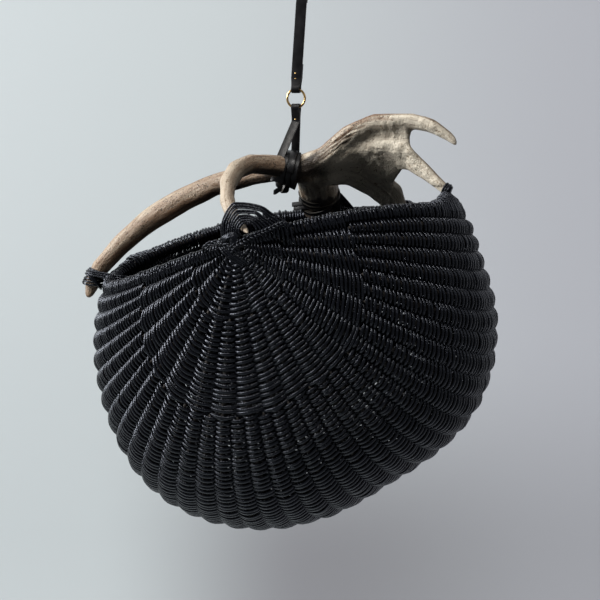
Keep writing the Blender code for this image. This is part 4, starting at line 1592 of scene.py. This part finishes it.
    def groove(self, places: np.ndarray, normals: np.ndarray) -> np.ndarray:
        """How deep each vertex lies in the furrows between the palm and its upper edge.

        Args:
            places: Vertices.
            normals: Their normals.

        Returns:
            Depths from 0 to 1.
        """
        depth = np.zeros(len(places))
        for spots in self.deep_furrows:
            line = smooth_line(self.form.beside(spots), 120)
            line[:, 2] += np.sin(np.linspace(0.0, 21.0, len(line))) * 0.0006
            gaps = np.linalg.norm(places[:, None, ::2] - line[None, :, ::2], axis=2)
            nearest = gaps.argmin(axis=1)
            ends = np.minimum(nearest, len(line) - 1 - nearest) / 25.0
            depth = np.maximum(depth, np.exp(-((gaps.min(axis=1) / self.furrow_width) ** 2)) * ease(ends))
        return depth * ease((-normals[:, 1] - 0.1) / 0.4)

    def build(self, bone: Material, frame: dict) -> BVHTree:
        """Grow the fine antler over the plain one.

        Args:
            bone: Its finish.
            frame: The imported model.

        Returns:
            Its surface, for what is tied round it.
        """
        fine = self.grow(frame)
        count = len(fine.vertices)
        places = np.empty(count * 3, np.float32)
        normals = np.empty(count * 3, np.float32)
        fine.vertices.foreach_get("co", places)
        fine.vertices.foreach_get("normal", normals)
        places = places.reshape(-1, 3).astype(float)
        normals = normals.reshape(-1, 3).astype(float)
        grain, reach, share = self.nearest(places)
        places += self.bow(places, normals, share)
        wide, narrow = self.ridge_scales
        ridges = np.array([noise.noise(Vector(row) * wide) + 0.5 * noise.noise(Vector(row) * narrow) for row in grain])
        stretched = places * np.array(self.crumple_scale)
        crumple = np.array([noise.turbulence(Vector(row), 3, False) for row in stretched])
        palm = share[3] + share[4] + share[5]
        deep = self.groove(places, normals)
        calm = ease((reach - 0.01) / 0.04)
        flat = ease((np.abs(normals @ self.palm_normal()) - 0.55) / 0.3)
        size = self.furrow * (1.0 - 0.45 * share[1])
        relief = ridges * size * (0.35 + 0.65 * calm)
        relief = relief + palm * calm * flat * (crumple - 0.5) * self.crumple - deep * self.deep_furrow
        places += normals * relief[:, None]
        fine.vertices.foreach_set("co", places.ravel().astype(np.float32))
        layer = fine.attributes.new("grain_place", "FLOAT_VECTOR", "POINT")
        layer.data.foreach_set("vector", grain.ravel().astype(np.float32))
        for name, values in self.stains_and_painted_shade(places, normals, reach, share, ridges, deep).items():
            stain = fine.attributes.new(name, "FLOAT", "POINT")
            stain.data.foreach_set("value", np.clip(values, 0.0, 1.0).astype(np.float32))
        fine.update()
        fine.shade_smooth()
        place_piece("antler_fine", fine, bone, Body.BASKET, ("antler",))
        return BVHTree.FromPolygons(places.tolist(), [tuple(face.vertices) for face in fine.polygons])

    def stains_and_painted_shade(
        self,
        places: np.ndarray,
        normals: np.ndarray,
        reach: np.ndarray,
        share: np.ndarray,
        ridges: np.ndarray,
        deep: np.ndarray,
    ) -> dict[str, np.ndarray]:
        """Where the bone is brown, where it is pale, and where it is darkened: painted shade on its undersides and in
        the deep furrows, a darker patch below the furrows, the base's darker lower edge and a dark ring near the
        second tine's tip.

        The numbers beside x and z are places of the stains and of the painted shade, in millimetres beside the rim's
        middle.

        Args:
            places: Vertices.
            normals: Their normals.
            reach: Way from the shaft along the branches.
            share: How much each branch counts.
            ridges: Height of the furrows.
            deep: Depth in the deep furrows.

        Returns:
            Three masks by name.
        """
        x, _, z = ((places - np.array(self.form.place)) * 1000).T
        long_tine, near_tine, base, top_tine, second_tine, third_tine = share
        palm = top_tine + second_tine + third_tine
        facing = np.abs(normals @ self.palm_normal())
        edge = ease((0.62 - facing) / 0.35) * palm
        upper = ease((normals[:, 2] - 0.25) / 0.5)
        fold_x, _, fold_z = np.array(self.deep_furrows[0]).T
        above = ease((z - np.interp(x, fold_x, fold_z) + 1.0) / 4.0)
        crown = np.maximum(above, upper) * ease((x - 34) / 12) * (1 - ease((x - 118) / 32)) * ease((z - 85) / 12)
        ridge = ease(-ridges * 1.6 + 0.35)
        # Brown in the deep furrows and in the valleys of the ridges is partly stain and partly painted shade.
        brown = 0.16 + 0.42 * edge * ease((x - 40) / 30) + 0.62 * crown * (0.6 + 0.4 * ridge) + 0.6 * deep
        # The long tine is browner, and browner still on its underside, which is painted shade.
        brown += long_tine * (0.46 - 0.14 * ease((-120 - x) / 60) + 0.22 * ease((-normals[:, 2] - 0.1) / 0.5))
        brown += base * (0.06 + 0.42 * ridge)
        root = 1 - ease((reach - 0.045) / 0.055)
        # The near tine is browner by the shaft, and browner on its underside as painted shade.
        brown += near_tine * (0.34 * root + 0.10 + 0.25 * ease((-normals[:, 2] - 0.2) / 0.6))
        pale = 0.42 - 0.24 * long_tine - near_tine * (0.20 + 0.22 * root) + 0.42 * palm * (1 - edge) + 0.06 * base
        pale += 0.25 * third_tine
        # A darker patch on the front, below the deep furrows.
        below = 1 - ease((z - 101 - 0.62 * (x - 44)) / 6)
        front = ease((0.45 - normals[:, 1]) / 0.5)
        dark = 0.82 * ease((x - 4) / 10) * ease((80 - x) / 44) * below * front * ease((z - 64 - 0.1 * x) / 14)
        # Painted shade: the undersides of the tines by the binding and of the long tine are darkened.
        under = ease((-normals[:, 2] - 0.05) / 0.5)
        bound = ease((x + 34) / 25) * (1 - ease((x - 30) / 10))
        dark = np.maximum(dark, 0.85 * (long_tine + near_tine) * under * bound)
        dark = np.maximum(dark, 0.6 * long_tine * under * ease((x + 150) / 70) * (1 - ease((x + 10) / 10)))
        # The base is darker towards its lower edge.
        dark = np.maximum(dark, 0.8 * base * ease((52 - z + 4 * ridge) / 5))
        dark = np.maximum(dark, 0.7 * second_tine * bump(z, 68.5, 1.2) * ease((x - 170) / 6))
        # Painted shade in the deep furrows.
        dark = np.maximum(dark, 0.5 * deep)
        pale = pale + 0.6 * second_tine * bump(z, 65.0, 1.4) * ease((x - 170) / 6)
        return {"brown": brown, "pale": pale, "dark": dark}


@dataclass
class Ties:
    """Cord and leather that tie the antler to the rim and to the strap.

    Each piece of leather has its half thickness and its half width.
    """

    form: BasketForm
    antler: Antler
    skin: BVHTree
    cord_radius: float = 0.00125
    binding_centre: Point = (-0.004, 0.0, 0.001)
    binding_dip: float = 15.0
    binding_radius: float = 0.0196
    binding_turns: float = 2.8
    binding_pitch: float = 0.0068
    binding_skew: float = 0.36
    binding_start: float = 1.1
    turn_leather: Pair = (0.00085, 0.0054)
    over_leather: Pair = (0.00085, 0.0040)
    knot_leather: Pair = (0.0023, 0.0040)
    lead_leather: Pair = (0.0012, 0.0042)
    tail_leather: Pair = (0.0009, 0.0026)
    drop_leather: Pair = (0.0009, 0.0028)
    foot_leather: Pair = (0.0010, 0.0036)
    crossing_leather: Pair = (0.0009, 0.0022)
    flap_leather: Pair = (0.0010, 0.0048)
    tab_leather: Pair = (0.0010, 0.0027)
    buckle_wire: Pair = (0.0008, 0.0010)
    knot_below: Point = (-0.0086, -0.0052, -0.0160)
    knot_size: float = 0.00250
    girth_reach: float = 0.03
    foot_reach: float = 0.045
    front_strands: tuple[Point, ...] = (
        (-233.5, -8.0, -35.5),
        (-229.5, -13.0, -36.0),
        (-222.1, -14.5, -37.4),
        (-209.3, -15.0, -39.0),
        (-196.0, -15.0, -41.0),
        (-186.0, -12.0, -42.5),
        (-179.0, -4.0, -44.0),
    )
    flap: tuple[Point, ...] = ((38.0, 100.0, 60.0), (39.6, 97.0, 52.0), (40.2, 96.5, 44.0), (40.6, 97.5, 34.0))

    def girth(self, start: np.ndarray, end: np.ndarray) -> Girth:
        """Girth of a tine between two places."""
        return Girth(self.skin, start, end, self.girth_reach)

    def loops(
        self, bundle: Bundle, girth: Girth, shares: tuple[float, ...], slant: float, lift: float, phase: float = 0.0
    ) -> None:
        """Taut loops of cord, one at each share of the stretch.

        Args:
            bundle: Where the strands go.
            girth: What they are drawn round.
            shares: How far along the stretch each lies.
            slant: How far each side of a loop leans along the stretch, as a share of it.
            lift: How far the middle of the cord lies off the bone.
            phase: Angle at which the slant is 0, in radians.
        """
        angles = np.linspace(0.0, 2 * math.pi, 56, endpoint=False)
        for number, share in enumerate(shares):
            along = np.clip(share + slant * np.sin(angles + phase + 0.2 * number), 0.0, 1.0)
            line, out = girth.wind(along, angles, lift + 0.0002 * (number % 3))
            bundle.add(line, out, self.cord_radius, closed=True)

    def rim_spot(self, end: float, lean: float) -> np.ndarray:
        """Middle of the hoop at a lean."""
        centre, _, _ = self.form.rim_frame(end, np.array([lean]))
        return self.form.to_world(centre)[0]

    def left(self, cord: Material) -> None:
        """Cord that ties the long tine to the left end of the rim.

        Args:
            cord: Finish of the ties.
        """
        bundle = Bundle()
        start, end = self.antler.place((self.antler.long_tine[8], self.antler.long_tine[9]))
        girth = self.girth(start, end)
        self.loops(bundle, girth, (0.16, 0.27, 0.38, 0.49), 0.05, self.cord_radius)
        self.loops(bundle, girth, (0.50, 0.62, 0.74), 0.22, 2.5 * self.cord_radius, 0.5)
        self.loops(bundle, girth, (0.58, 0.70), 0.20, 2.9 * self.cord_radius, 3.7)
        for reach in (0.95, 1.05):
            tied = self.girth(start, end)
            tied.include(self.rim_spot(0.0, 0.0), self.form.hoop_radius + 0.0035 * reach)
            self.loops(bundle, tied, (0.2 * reach, 0.36 * reach), 0.10, 1.2 * self.cord_radius)
        for number in range(3):
            line = smooth_line(self.form.beside(self.front_strands), 40)
            shift = np.array([0.0, -0.0004 * number, -0.0023 * (number - 1)])
            bundle.add(line + shift, FRONT, self.cord_radius)
        bundle.piece("left_ties", cord, Body.BASKET, ("left_lashing",))

    def right(self, cord: Material) -> None:
        """Cord that ties the second tine to the right end of the rim.

        Args:
            cord: Finish of the ties.
        """
        bundle = Bundle()
        start, end = self.antler.place((self.antler.second_tine[6], self.antler.second_tine[7]))
        girth = self.girth(start, end)
        self.loops(bundle, girth, (0.14, 0.42, 0.70, 0.95), 0.05, self.cord_radius)
        self.loops(bundle, girth, (0.62, 0.84), 0.16, 2.3 * self.cord_radius, 1.2)
        bundle.piece("right_ties", cord, Body.BASKET, ("right_lashing",))

    def far(self, cord: Material) -> None:
        """Cord that ties the third tine to the far side of the rim.

        Args:
            cord: Finish of the ties.
        """
        bundle = Bundle()
        start, end = self.antler.place((self.antler.third_tine[4], self.antler.third_tine[6]))
        girth = self.girth(start, end)
        self.loops(bundle, girth, (0.60, 0.69, 0.78, 0.87), 0.04, self.cord_radius)
        self.loops(bundle, girth, (0.72, 0.82), 0.12, 2.6 * self.cord_radius, 1.0)
        leans = np.linspace(20.0, 80.0, 61)
        hoop = self.form.to_world(self.form.rim_frame(180.0, leans)[0])
        nearest = hoop[np.linalg.norm(hoop - end, axis=1).argmin()]
        tied = self.girth(start, end)
        tied.include(nearest, self.form.hoop_radius + 0.0035)
        self.loops(bundle, tied, (0.70, 0.79, 0.88), 0.06, 1.2 * self.cord_radius)
        bundle.piece("far_ties", cord, Body.BASKET, ("far_tine_lashing",))

    def foot(self, leather: Material, cord: Material) -> None:
        """Leather and cord that tie the antler's base to the rim.

        Args:
            leather: Finish of the turns and the buckle.
            cord: Finish of the strands beside them.
        """
        bundle = Bundle(corner=0.35)
        start, end = self.antler.place((self.antler.base[2], self.antler.base[5]))
        girth = Girth(self.skin, start, end, self.foot_reach)
        angles = np.linspace(-0.6, 2 * math.pi * 2.3, 130)
        shares = np.interp(angles, (angles[0], angles[-1]), (0.27, 0.74))
        line, out = girth.wind(shares, angles, 0.0012)
        bundle.add(line, out + girth.way * 0.15, *self.foot_leather)
        crossing = np.linspace(0.0, 2 * math.pi, 60, endpoint=False)
        line, out = girth.wind(np.clip(0.52 + 0.17 * np.sin(crossing + 0.9), 0, 1), crossing, 0.0031)
        bundle.add(line, out, *self.crossing_leather, closed=True)
        bundle.add(smooth_line(self.form.beside(self.flap), 24), (0.25, -1.0, 0.0), *self.flap_leather)
        for rise, reach in ((43.0, -13.0), (38.5, -11.0)):
            spots = ((8.0, 90.5, rise + 1.0), (0.0, 89.5, rise + 0.6), (reach, 91.0, rise - 1.0))
            bundle.add(smooth_line(self.form.beside(spots), 16), (0.0, -1.0, 0.3), *self.tab_leather)
        buckle = np.linspace(0.0, 2 * math.pi, 28, endpoint=False)
        spots = np.column_stack([15.0 + 4.2 * np.cos(buckle), np.full(28, 84.0), 45.5 + 2.6 * np.sin(buckle)])
        bundle.add(self.form.beside(spots), FRONT, *self.buckle_wire, closed=True)
        bundle.piece("foot_leather", leather, Body.BASKET, ("base_lashing",))
        fan = Bundle()
        for number in range(7):
            share = number / 6
            spots = (
                (37.5 + 6.0 * share, 101.0, 58.0 - 2.5 * share),
                (38.0 + 11.0 * share, 112.0, 47.0 - 1.0 * share),
                (36.0 + 19.0 * share, 128.0, 31.0 + 2.0 * share),
                (36.0 + 22.0 * share, 133.0, 22.0 + 2.0 * share),
            )
            fan.add(smooth_line(self.form.beside(spots), 24), FRONT, 0.0012)
        fan.piece("foot_cord", cord, Body.BASKET)

    def binding_axis(self) -> tuple[np.ndarray, np.ndarray]:
        """Middle and direction of the leather turns round the shaft.

        Returns:
            The two vectors.
        """
        spots = self.antler.place((self.antler.long_tine[1], self.antler.long_tine[0], self.antler.long_tine[2]))
        centre = spots[0] + self.form.turned(np.array(self.binding_centre))
        way = unit(spots[1] - spots[2])
        dip = math.radians(self.binding_dip)
        x, y, z = way
        return centre, np.array([x * math.cos(dip) + z * math.sin(dip), y, z * math.cos(dip) - x * math.sin(dip)])

    def binding(self, leather: Material) -> None:
        """Leather turns round the shaft, with the knot below them.

        Args:
            leather: Finish of the turns and the knot.
        """
        centre, way = self.binding_axis()
        second = unit(np.cross(way, FRONT))
        first = np.cross(second, way)
        angles = np.linspace(0.0, 2 * math.pi * self.binding_turns, 150)
        along = (angles / (2 * math.pi) - self.binding_turns / 2) * self.binding_pitch
        bearing = angles - self.binding_start
        out = first * np.cos(bearing)[:, None] + second * np.sin(bearing)[:, None]
        reach = self.binding_radius - 0.0006 * bump(angles, angles[-1], 1.0)
        along = along + self.binding_skew * reach * -out[:, 1]
        line = centre + way * along[:, None] + out * reach[:, None]
        bundle = Bundle(corner=0.3)
        bundle.add(line, out - way * 0.17, *self.turn_leather)
        upper = slice(22, 64)
        over = line[upper] + out[upper] * 0.0016 + way * 0.0035
        bundle.add(over, out[upper] - way * 0.1, *self.over_leather)
        bundle.piece("shaft_leather", leather, Body.BASKET, ("strap_binding",))
        middle = centre + self.form.turned(np.array(self.knot_below))
        knot = Bundle(corner=0.45)
        turn = np.linspace(0.0, 2 * math.pi, 90, endpoint=False)
        loops = np.column_stack(
            [np.sin(turn) + 2 * np.sin(2 * turn), 1.2 * np.sin(3 * turn), np.cos(turn) - 2 * np.cos(2 * turn)]
        )
        knot.add(middle + loops * self.knot_size, unit(loops), *self.knot_leather, closed=True)
        lead = np.array([(0.004, 0.0, 0.003), (0.007, -0.003, 0.012), (0.010, 0.001, 0.020)])
        knot.add(smooth_line(middle + lead, 16), (0.2, -1.0, 0.0), *self.lead_leather)
        tail = np.array([(-0.002, -0.004, 0.004), (-0.010, -0.005, 0.006), (-0.014, -0.004, 0.0065)])
        knot.add(smooth_line(middle + tail, 12), (0.0, -1.0, 0.4), *self.tail_leather)
        drop = np.array([(-0.001, -0.004, -0.003), (-0.008, -0.006, -0.008), (-0.010, -0.005, -0.0085)])
        knot.add(smooth_line(middle + drop, 12), (0.3, -1.0, 0.0), *self.drop_leather)
        knot.piece("knot_leather", leather, Body.BASKET, ("binding_knot",))

    def build(self, cord: Material, leather: Material) -> None:
        """Make every tie.

        Args:
            cord: Finish of the cord.
            leather: Finish of the leather.
        """
        self.left(cord)
        self.right(cord)
        self.far(cord)
        self.foot(leather, cord)
        self.binding(leather)


@dataclass
class Hanger:
    """Two folded straps, the brass ring between them and their studs."""

    shaft: np.ndarray
    ring_place: Point = (-0.010, 0.0, -0.153)
    ring_radius: float = 0.0104
    wire_radius: float = 0.0013
    thickness: float = 0.002
    gap: float = 0.00115
    loop_radius: float = 0.008
    loop_drop: float = 0.007
    loop_reach: float = 0.020
    fold_radius: float = 0.003948
    fold_start: float = 140.0
    fold_turn: float = 260.0
    fold_steps: int = 24
    strap_step: float = 0.001
    strap_trim: float = 0.00003
    pinch: float = 0.012
    upper_end: float = -0.047
    lap: float = 0.016
    spread: float = 0.0165
    legs_above: float = 0.0105
    leg_asides: Pair = (-0.0062, 0.0013)
    wide: float = 0.0125
    narrow: float = 0.0095
    upper_studs: tuple[float, ...] = (-0.1250, -0.1310)
    lower_studs: tuple[float, ...] = (-0.1705, -0.1765)
    stud_profile: tuple[Pair, ...] = ((0.0004, 0.0011), (0.0, 0.0011), (-0.0004, 0.0008), (-0.0006, 0.0003))

    def teardrop(self, radius: float, pinch: float) -> list[Pair]:
        """Side view of a strap folded round 0, with its layers running off together upward.

        Args:
            radius: Radius of the fold.
            pinch: Height at which the layers meet.

        Returns:
            Places across and up.
        """
        points = [(-self.gap, pinch)]
        for step in range(self.fold_steps + 1):
            angle = math.radians(self.fold_start + self.fold_turn * step / self.fold_steps)
            points.append((radius * math.cos(angle), radius * math.sin(angle)))
        points.append((self.gap, pinch))
        return points

    def sweep(self, bundle: Bundle, path: list[Pair], asides: list[float], widths: list[float], passes: int) -> None:
        """Sweep a flat strap along a path seen from the side.

        Args:
            bundle: Where it goes.
            path: Y and Z along the strap.
            asides: X along it.
            widths: Width along it.
            passes: How much its corners are rounded.
        """
        rough = np.array([(x, y, z) for x, (y, z) in zip(asides, path)])
        lengths = lengths_along(rough)
        count = int(lengths[-1] / self.strap_step) + 2
        line = softened(evenly(rough, count), passes)
        width = np.interp(np.linspace(0.0, lengths[-1], count), lengths, widths)
        way = unit(np.gradient(line, axis=0))
        normal = unit(np.column_stack([np.zeros(count), -way[:, 2], way[:, 1]]))
        bundle.add(line, normal, self.thickness / 2 - self.strap_trim, width / 2)

    def straps(self, leather: Material) -> None:
        """Upper and lower strap.

        Args:
            leather: Their finish.
        """
        x, _, z = self.ring_place
        high = z + self.ring_radius
        low = z - self.ring_radius
        top = [(y, -self.loop_drop - rise) for y, rise in self.teardrop(self.loop_radius, self.loop_reach)]
        fold = [(y, high + rise) for y, rise in self.teardrop(self.fold_radius, self.pinch)]
        path = [(self.gap, self.upper_end), *reversed(top), *fold, (self.gap, high + self.pinch + self.lap)]
        asides = [x * min(max(rise / high, 0.0), 1.0) for _, rise in path]
        widths = [self.wide] * len(path)
        for index in range(len(top) + 2, len(top) + len(fold)):
            widths[index] = self.narrow
        upper = Bundle(corner=0.25)
        self.sweep(upper, path, asides, widths, 3)
        upper.piece("upper_strap_fine", leather, Body.HANGER, ("upper_strap",))
        legs = [(y, low - rise) for y, rise in self.teardrop(self.fold_radius, self.pinch)]
        straight = low - 1.3 * self.pinch
        reach = self.shaft[2] + self.legs_above
        near = (self.shaft[1] - self.spread, reach)
        far = (self.shaft[1] + self.spread, reach)
        path = [near, (-self.gap, straight), *legs, (self.gap, straight), far]
        first, last = (self.shaft[0] + aside for aside in self.leg_asides)
        asides = [first, *([x] * (len(path) - 2)), last]
        lower = Bundle(corner=0.25)
        self.sweep(lower, path, asides, [self.narrow] * len(path), 4)
        lower.piece("lower_strap_fine", leather, Body.BASKET, ("lower_strap",))

    def brass(self, metal: Material) -> None:
        """Ring and studs.

        Args:
            metal: Their finish.
        """
        turn = np.linspace(0.0, 2 * math.pi, 80, endpoint=False)
        circle = np.column_stack([np.cos(turn), np.zeros_like(turn), np.sin(turn)])
        ring = Bundle(sides=14)
        ring.add(np.array(self.ring_place) + circle * self.ring_radius, circle, self.wire_radius, closed=True)
        ring.piece("ring_fine", metal, Body.RING, ("brass_ring",))
        face = -self.gap - self.thickness / 2
        depths, radii = np.array(self.stud_profile).T
        rows = (("upper_studs", Body.HANGER, self.upper_studs), ("lower_studs", Body.BASKET, self.lower_studs))
        for name, body, heights in rows:
            studs = Bundle(sides=12)
            for height in heights:
                line = np.array([(self.ring_place[0], face + depth, height) for depth in depths])
                studs.add(line, (0.0, 0.0, 1.0), radii)
            studs.piece(name, metal, body)

    def build(self, leather: Material, metal: Material) -> None:
        """Make the straps, the ring and the studs.

        Args:
            leather: Finish of the straps.
            metal: Finish of the ring and the studs.
        """
        self.straps(leather)
        self.brass(metal)


# --------------------------------------------------------------------------- stage


@dataclass(frozen=True)
class Lamp:
    """Square soft lamp, with its place from the basket's middle in metres and its power in watts."""

    name: str
    place: Point
    size: float
    power: float
    colour: Point


@dataclass
class Studio:
    """Camera, pale backdrop and floor, and soft lamps.

    Spans and heights of the paper's tones and of its painted shade and shadow are pairs in metres, across the view and
    up.
    """

    form: BasketForm
    azimuth: float = 18.0
    elevation: float = 6.0
    lens: float = 90.0
    sensor: float = 36.0
    metres_per_pixel: float = 0.001134
    rim_pixel: Pair = (278.0, 245.0)
    frame_pixels: float = 600.0
    floor_height: float = -1.55
    wall_distance: float = 1.15
    wall_height: float = 3.2
    floor_start: float = -0.9
    half_width: float = 3.0
    sweep_radius: float = 0.6
    sweep_steps: int = 12
    # The left tone is the plain paper; the darker right tone and the low tone are painted shade and a painted shadow.
    left_tone: Point = (0.590, 0.637, 0.651)
    painted_shade_right_tone: Point = (0.522, 0.537, 0.580)
    painted_shadow_tone: Point = (0.295, 0.298, 0.318)
    room_tone: Point = (0.180, 0.187, 0.200)
    faint_tone: Point = (0.90, 0.95, 1.0)
    faint_strength: float = 0.03
    plain_share: float = 0.6
    painted_shade_span: Pair = (-0.25, 0.60)
    shade_heights: Pair = (-0.55, -1.02)
    shade_span: Pair = (-0.42, 0.02)
    shade_fade: Pair = (0.05, 0.60)
    shade_foot: Pair = (-1.50, -1.15)
    lamp_target: Point = (0.0, 0.0, -0.10)
    lamps: tuple[Lamp, ...] = (
        Lamp("key_lamp", (-1.50, -0.62, 0.75), 0.7, 46.0, (0.98, 0.985, 1.0)),
        Lamp("fill_lamp", (-0.4, -1.2, 1.8), 0.5, 27.0, (1.0, 0.965, 0.92)),
        Lamp("side_lamp", (1.3, -0.3, 0.9), 0.8, 2.0, (0.94, 0.96, 1.0)),
        Lamp("back_lamp", (-0.6, 0.65, 1.4), 0.9, 5.0, (1.0, 1.0, 1.0)),
    )

    def axes(self) -> tuple[np.ndarray, np.ndarray, np.ndarray]:
        """Forward, right and up directions of the camera.

        Returns:
            The three unit vectors.
        """
        turn = math.radians(self.azimuth)
        dip = math.radians(self.elevation)
        right = np.array([math.cos(turn), math.sin(turn), 0.0])
        forward = np.array([-math.sin(turn) * math.cos(dip), math.cos(turn) * math.cos(dip), -math.sin(dip)])
        return forward, right, np.cross(right, forward)

    def add_camera(self) -> None:
        """Place the camera so that the rim's middle falls on its pixel."""
        forward, right, up = self.axes()
        distance = self.frame_pixels * self.metres_per_pixel * self.lens / self.sensor
        half = self.frame_pixels / 2
        target = np.array(self.form.place) + right * (half - self.rim_pixel[0]) * self.metres_per_pixel
        target = target - up * (half - self.rim_pixel[1]) * self.metres_per_pixel
        place = target - forward * distance
        data = bpy.data.cameras.new("camera")
        data.lens = self.lens
        data.sensor_width = self.sensor
        data.clip_end = 20.0
        camera = bpy.data.objects.new("camera", data)
        matrix = Matrix.Identity(4)
        for row in range(3):
            matrix[row][0] = right[row]
            matrix[row][1] = up[row]
            matrix[row][2] = -forward[row]
            matrix[row][3] = place[row]
        camera.matrix_world = matrix
        bpy.context.scene.collection.objects.link(camera)
        bpy.context.scene.camera = camera

    @staticmethod
    def seen_directly(tree: Tree) -> NodeSocket:
        """Mask of the rays that show the background: camera, glossy and transmission rays.

        Args:
            tree: Where the nodes go.

        Returns:
            The mask.
        """
        rays = tree.add("ShaderNodeLightPath").outputs
        mirrored = tree.math("MAXIMUM", rays["Is Glossy Ray"], rays["Is Transmission Ray"])
        return tree.math("MAXIMUM", rays["Is Camera Ray"], mirrored)

    def stage_material(self) -> Material:
        """Pale paper with painted shade that darkens it to the right and downward, into a painted shadow low on the
        wall.

        Returns:
            The new material.
        """
        material, tree, shader = new_material("pale_paper")
        place = tree.add("ShaderNodeTexCoord").outputs["Object"]
        right = tuple(float(value) for value in self.axes()[1])
        across = tree.add("ShaderNodeVectorMath", {0: place, 1: right}, operation="DOT_PRODUCT").outputs["Value"]
        height = tree.add("ShaderNodeSeparateXYZ", {0: place}).outputs[2]
        # Painted shade: the paper darkens from left to right.
        tone = tree.mix(tree.band(across, *self.painted_shade_span), (*self.left_tone, 1.0), (*self.painted_shade_right_tone, 1.0))
        # Painted shadow low on the wall, strongest right of the middle and fading out toward the floor.
        fall = tree.math("MULTIPLY", tree.band(height, *self.shade_heights), tree.band(across, *self.shade_span))
        rightward = tree.math("MULTIPLY", tree.band(across, *self.shade_fade), 0.5)
        fall = tree.math("MULTIPLY", fall, tree.math("SUBTRACT", 1.0, rightward))
        fall = tree.math("MULTIPLY", fall, tree.band(height, *self.shade_foot))
        paper = tree.mix(fall, tone, (*self.painted_shadow_tone, 1.0))
        tree.set(shader.inputs["Base Color"], paper)
        shader.inputs["Roughness"].default_value = 0.9
        plain = tree.add("ShaderNodeEmission", {"Color": paper, "Strength": 1.0})
        share = tree.math("MULTIPLY", self.seen_directly(tree), self.plain_share)
        blend = tree.add("ShaderNodeMixShader", {0: share, 1: shader.outputs[0], 2: plain.outputs[0]})
        clear = tree.add("ShaderNodeBsdfTransparent")
        behind = tree.add("ShaderNodeNewGeometry").outputs["Backfacing"]
        result = tree.add("ShaderNodeMixShader", {0: behind, 1: blend.outputs[0], 2: clear.outputs[0]})
        tree.set(material.node_tree.nodes["Material Output"].inputs["Surface"], result.outputs[0])
        return material

    def add_stage(self) -> None:
        """Floor and backdrop in one sweep."""
        paper = self.stage_material()
        forward, _, _ = self.axes()
        back = Vector((forward[0], forward[1], 0.0)).normalized()
        side = Vector((back.y, -back.x, 0.0))
        bend = self.wall_distance - self.sweep_radius
        profile = [(self.floor_start, 0.0), (bend, 0.0)]
        for step in range(1, self.sweep_steps + 1):
            turn = math.radians(90 * step / self.sweep_steps)
            rise = self.sweep_radius - self.sweep_radius * math.cos(turn)
            profile.append((bend + self.sweep_radius * math.sin(turn), rise))
        profile.append((self.wall_distance, self.wall_height))
        verts = []
        faces = []
        for out, height in profile:
            for half in (-self.half_width, self.half_width):
                spot = back * out + side * half
                verts.append((spot.x, spot.y, self.floor_height + height))
        for index in range(len(profile) - 1):
            faces.append((2 * index, 2 * index + 1, 2 * index + 3, 2 * index + 2))
        mesh = bpy.data.meshes.new("sweep")
        mesh.from_pydata(verts, [], faces)
        mesh.shade_smooth()
        mesh.materials.append(paper)
        sweep = bpy.data.objects.new("sweep", mesh)
        bpy.context.scene.collection.objects.link(sweep)

    def add_lamp(self, lamp: Lamp) -> None:
        """Add a lamp that looks at the basket.

        Args:
            lamp: The lamp and its values.
        """
        data = bpy.data.lights.new(lamp.name, "AREA")
        data.shape = "SQUARE"
        data.size = lamp.size
        data.energy = lamp.power
        data.color = lamp.colour
        light = bpy.data.objects.new(lamp.name, data)
        target = Vector(self.form.place) + Vector(self.lamp_target)
        light.location = target + Vector(lamp.place)
        light.rotation_euler = (target - light.location).to_track_quat("-Z", "Y").to_euler()
        bpy.context.scene.collection.objects.link(light)

    def add_world(self) -> None:
        """Faint even light, and the grey room that is seen past the paper."""
        world = bpy.data.worlds.new("world")
        world.use_nodes = True
        tree = Tree(world.node_tree)
        faint = world.node_tree.nodes["Background"]
        faint.inputs["Color"].default_value = (*self.faint_tone, 1.0)
        faint.inputs["Strength"].default_value = self.faint_strength
        room = tree.add("ShaderNodeBackground", {"Color": (*self.room_tone, 1.0), "Strength": 1.0})
        seen = self.seen_directly(tree)
        blend = tree.add("ShaderNodeMixShader", {0: seen, 1: faint.outputs[0], 2: room.outputs[0]})
        tree.set(world.node_tree.nodes["World Output"].inputs["Surface"], blend.outputs[0])
        bpy.context.scene.world = world

    def build(self) -> None:
        """Set up the whole stage."""
        self.add_camera()
        self.add_stage()
        self.add_world()
        for lamp in self.lamps:
            self.add_lamp(lamp)
        bpy.context.scene.view_settings.view_transform = "Standard"


def main() -> None:
    """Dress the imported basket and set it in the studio."""
    logging.basicConfig(level=logging.INFO, format="%(name)s: %(message)s")
    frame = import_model()
    form = BasketForm()
    Studio(form).build()
    cord = CordFinish().build(strand_lay_group())
    rod = RodFinish().build()
    leather = LeatherFinish().build(hide_grain_group())
    bone = AntlerFinish().build()
    brass = BrassFinish().build()
    WovenWall(form).build(cord)
    RibFrame(form).build(rod)
    Ears(form).build(cord)
    antler = Antler(form)
    ties = Ties(form, antler, antler.build(bone, frame))
    ties.build(cord, leather)
    Hanger(ties.binding_axis()[0]).build(leather, brass)
    finishes = {"black_cord": cord, "rib_rod": rod, "antler_bone": bone, "black_leather": leather, "brass": brass}
    slots = {row["node"]: row["material_slot"] for row in frame["record"]["subparts"]}
    for name, node in frame["nodes"].items():
        node.data.materials.clear()
        node.data.materials.append(finishes[slots[name]])


if __name__ == "__main__":
    main()
